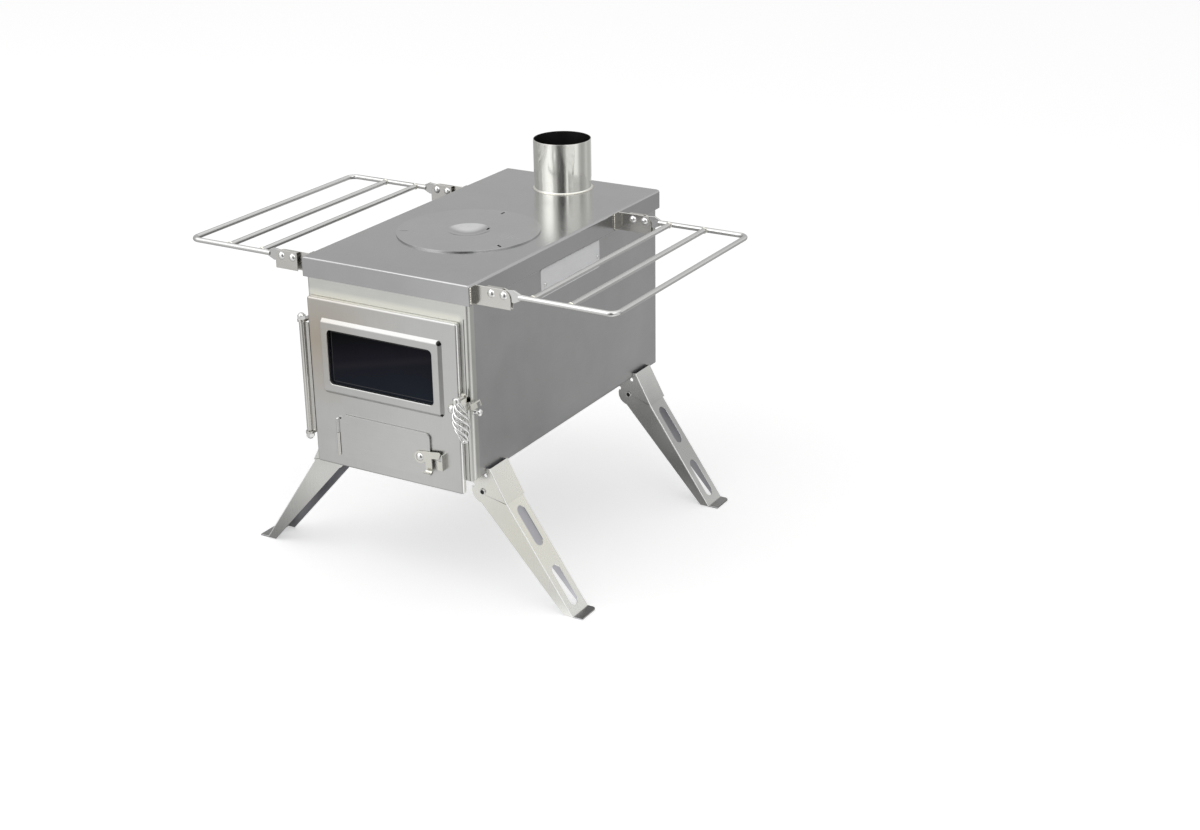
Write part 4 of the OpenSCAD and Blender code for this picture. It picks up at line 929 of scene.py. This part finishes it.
def addHandle():
    shape = handleShape
    lean = math.radians(-shape["lean"])
    tilt = Matrix.Translation(shape["pin"]) @ Matrix.Rotation(lean, 4, "Y")
    buttonUp = -shape["cap"] / 2 - shape["length"] + shape["buttonIn"]
    pieces = [handleStrands(tilt)]
    for z, depth, dome in (  # the collar round the pin and the button at the lower end
        (0, shape["cap"], shape["capDome"]),
        (buttonUp, shape["button"], shape["buttonIn"]),
    ):
        bpy.ops.object.select_all(action="DESELECT")
        bpy.ops.mesh.primitive_cylinder_add(
            vertices=40, radius=shape["neck"] + shape["wire"] / 2, depth=depth,
            location=tilt @ Vector((0, 0, z)), rotation=(0, lean, 0))
        cap = placed(bpy.context.object)
        folded(cap, min(dome, depth / 2 - 0.1 * mm), 6, lambda e: corner(e, 60))
        pieces.append(cap)
    finished(joined(pieces, "basketHandle"), "twisted_handle", "bright", 50)
    print("twisted handle wound")


weldShape = {
    "wire": 5.5 * mm,
    "ring": 2.95 * mm,
    "bead": 0.75 * mm,
    "ringOut": 0.1 * mm,
    "dent": 0.2 * mm,
    "arms": (-166.35 * mm, 112.65 * mm),  # the shelf's side wires, and the brackets they hang in
    "rails": (207 * mm, 165 * mm),
    "lump": 1.0 * mm,
    "lumps": 7,
    "uneven": 0.06 * mm,
    "lineX": 102.7 * mm,
    "lineIn": 10.6 * mm,
    "lineFrom": 329.5 * mm,
    "lineTo": 344 * mm,
}


def wireWeld(railX, armY, inward, level):  # a lumpy ring where a rail meets a side wire
    shape = weldShape
    bpy.ops.object.select_all(action="DESELECT")
    bpy.ops.mesh.primitive_torus_add(
        location=(railX, armY + inward * (shape["wire"] / 2 + shape["ringOut"]), level),
        rotation=(math.pi / 2, 0, 0), major_radius=shape["ring"], minor_radius=shape["bead"],
        major_segments=30, minor_segments=8)
    ring = placed(bpy.context.object)

    def hollow(face):
        spot = face.calc_center_median()
        return math.sin(6 * math.atan2(spot.z - level, spot.x - railX)) > 0.3

    dented(ring, shape["dent"], hollow)
    return ring


def lumpLine(start, end, name, node):  # a short weld laid as a row of overlapping drops
    lumps = []
    for i in range(weldShape["lumps"]):
        spot = Vector(start).lerp(Vector(end), i / (weldShape["lumps"] - 1))
        bpy.ops.object.select_all(action="DESELECT")
        bpy.ops.mesh.primitive_ico_sphere_add(subdivisions=3, radius=weldShape["lump"], location=spot)
        drop = bpy.context.object
        drop.scale = (0.8, 1.1, 1.0 + 0.25 * math.sin(2.4 * i))
        placed(drop)
        bpy.ops.object.mode_set(mode="EDIT")
        bpy.ops.mesh.select_all(action="SELECT")
        bpy.ops.transform.vertex_random(offset=weldShape["uneven"], seed=i)
        bpy.ops.object.mode_set(mode="OBJECT")
        lumps.append(drop)
    added(joined(lumps, name), node, "weld", 80)


def addWelds():
    shape = weldShape
    for side, hand in ((-1, "left"), (1, "right")):
        low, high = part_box("shelf_" + hand)
        level = (low.z + high.z) / 2
        rings = []
        for armY, inward in zip(shape["arms"], (1, -1)):
            rings += [wireWeld(side * x, armY, inward, level) for x in shape["rails"]]
        added(joined(rings, "shelfWelds" + hand.title()), "shelf_" + hand, "weld", 80)
        for where, armY in zip(("front", "back"), shape["arms"]):
            x, y = side * shape["lineX"], armY - side * shape["lineIn"]
            lumpLine((x, y, shape["lineFrom"]), (x, y, shape["lineTo"]),
                     "bracketWeld" + where.title() + hand.title(), "bracket_" + where + "_" + hand)
    print("welds laid")


plateShape = {
    "low": (98.5 * mm, -43.55 * mm, 293.5 * mm),
    "high": (99.2 * mm, 74.95 * mm, 324 * mm),
    "cornerR": 2 * mm,
    "edge": 0.15 * mm,
    "rivets": ((-36.05 * mm, 306.4 * mm), (69.95 * mm, 306.3 * mm)),
    "rivetR": 2.1 * mm,
    "rivetOut": 1.3 * mm,
}


def addPlate():
    low, high = Vector(plateShape["low"]), Vector(plateShape["high"])
    bpy.ops.object.select_all(action="DESELECT")
    bpy.ops.mesh.primitive_cube_add(size=1, location=(low + high) / 2, scale=high - low)
    plate = placed(bpy.context.object)
    folded(plate, plateShape["cornerR"], 4, lambda e: along(e, Vector((1, 0, 0))))
    folded(plate, plateShape["edge"], 2, lambda e: corner(e, 60) and abs(middle(e).x - high.x) < close)
    added(joined([plate], "sidePlate"), "firebox_shell", "plate")


def addPlateRivets():
    face, out = plateShape["high"][0], plateShape["rivetOut"]
    heads = []
    for y, z in plateShape["rivets"]:
        bpy.ops.object.select_all(action="DESELECT")
        bpy.ops.mesh.primitive_cylinder_add(
            vertices=36, radius=plateShape["rivetR"], depth=out, location=(face + out / 2, y, z),
            rotation=(0, math.pi / 2, 0))
        head = placed(bpy.context.object)
        folded(head, 0.92 * out, 6, lambda e: corner(e, 60) and abs(middle(e).x - face - out) < close)
        heads.append(head)
    added(joined(heads, "plateRivets"), "firebox_shell", "bright", 50)
    print("side plate fixed")


addFireDoor()
addWindowFrame()
addAshDoor()
print("doors shaped")
addCooktop()
addLid()
addCollar()
addCollarWeld()
print("cooktop, lid and collar shaped")
for where in legJoints:
    for kind in ("leg", "sleeve"):
        channel(kind, where)
addPinCups()
print("legs, sleeves and pins shaped")
easeFittings()
addHandle()
addWelds()
addPlate()
addPlateRivets()
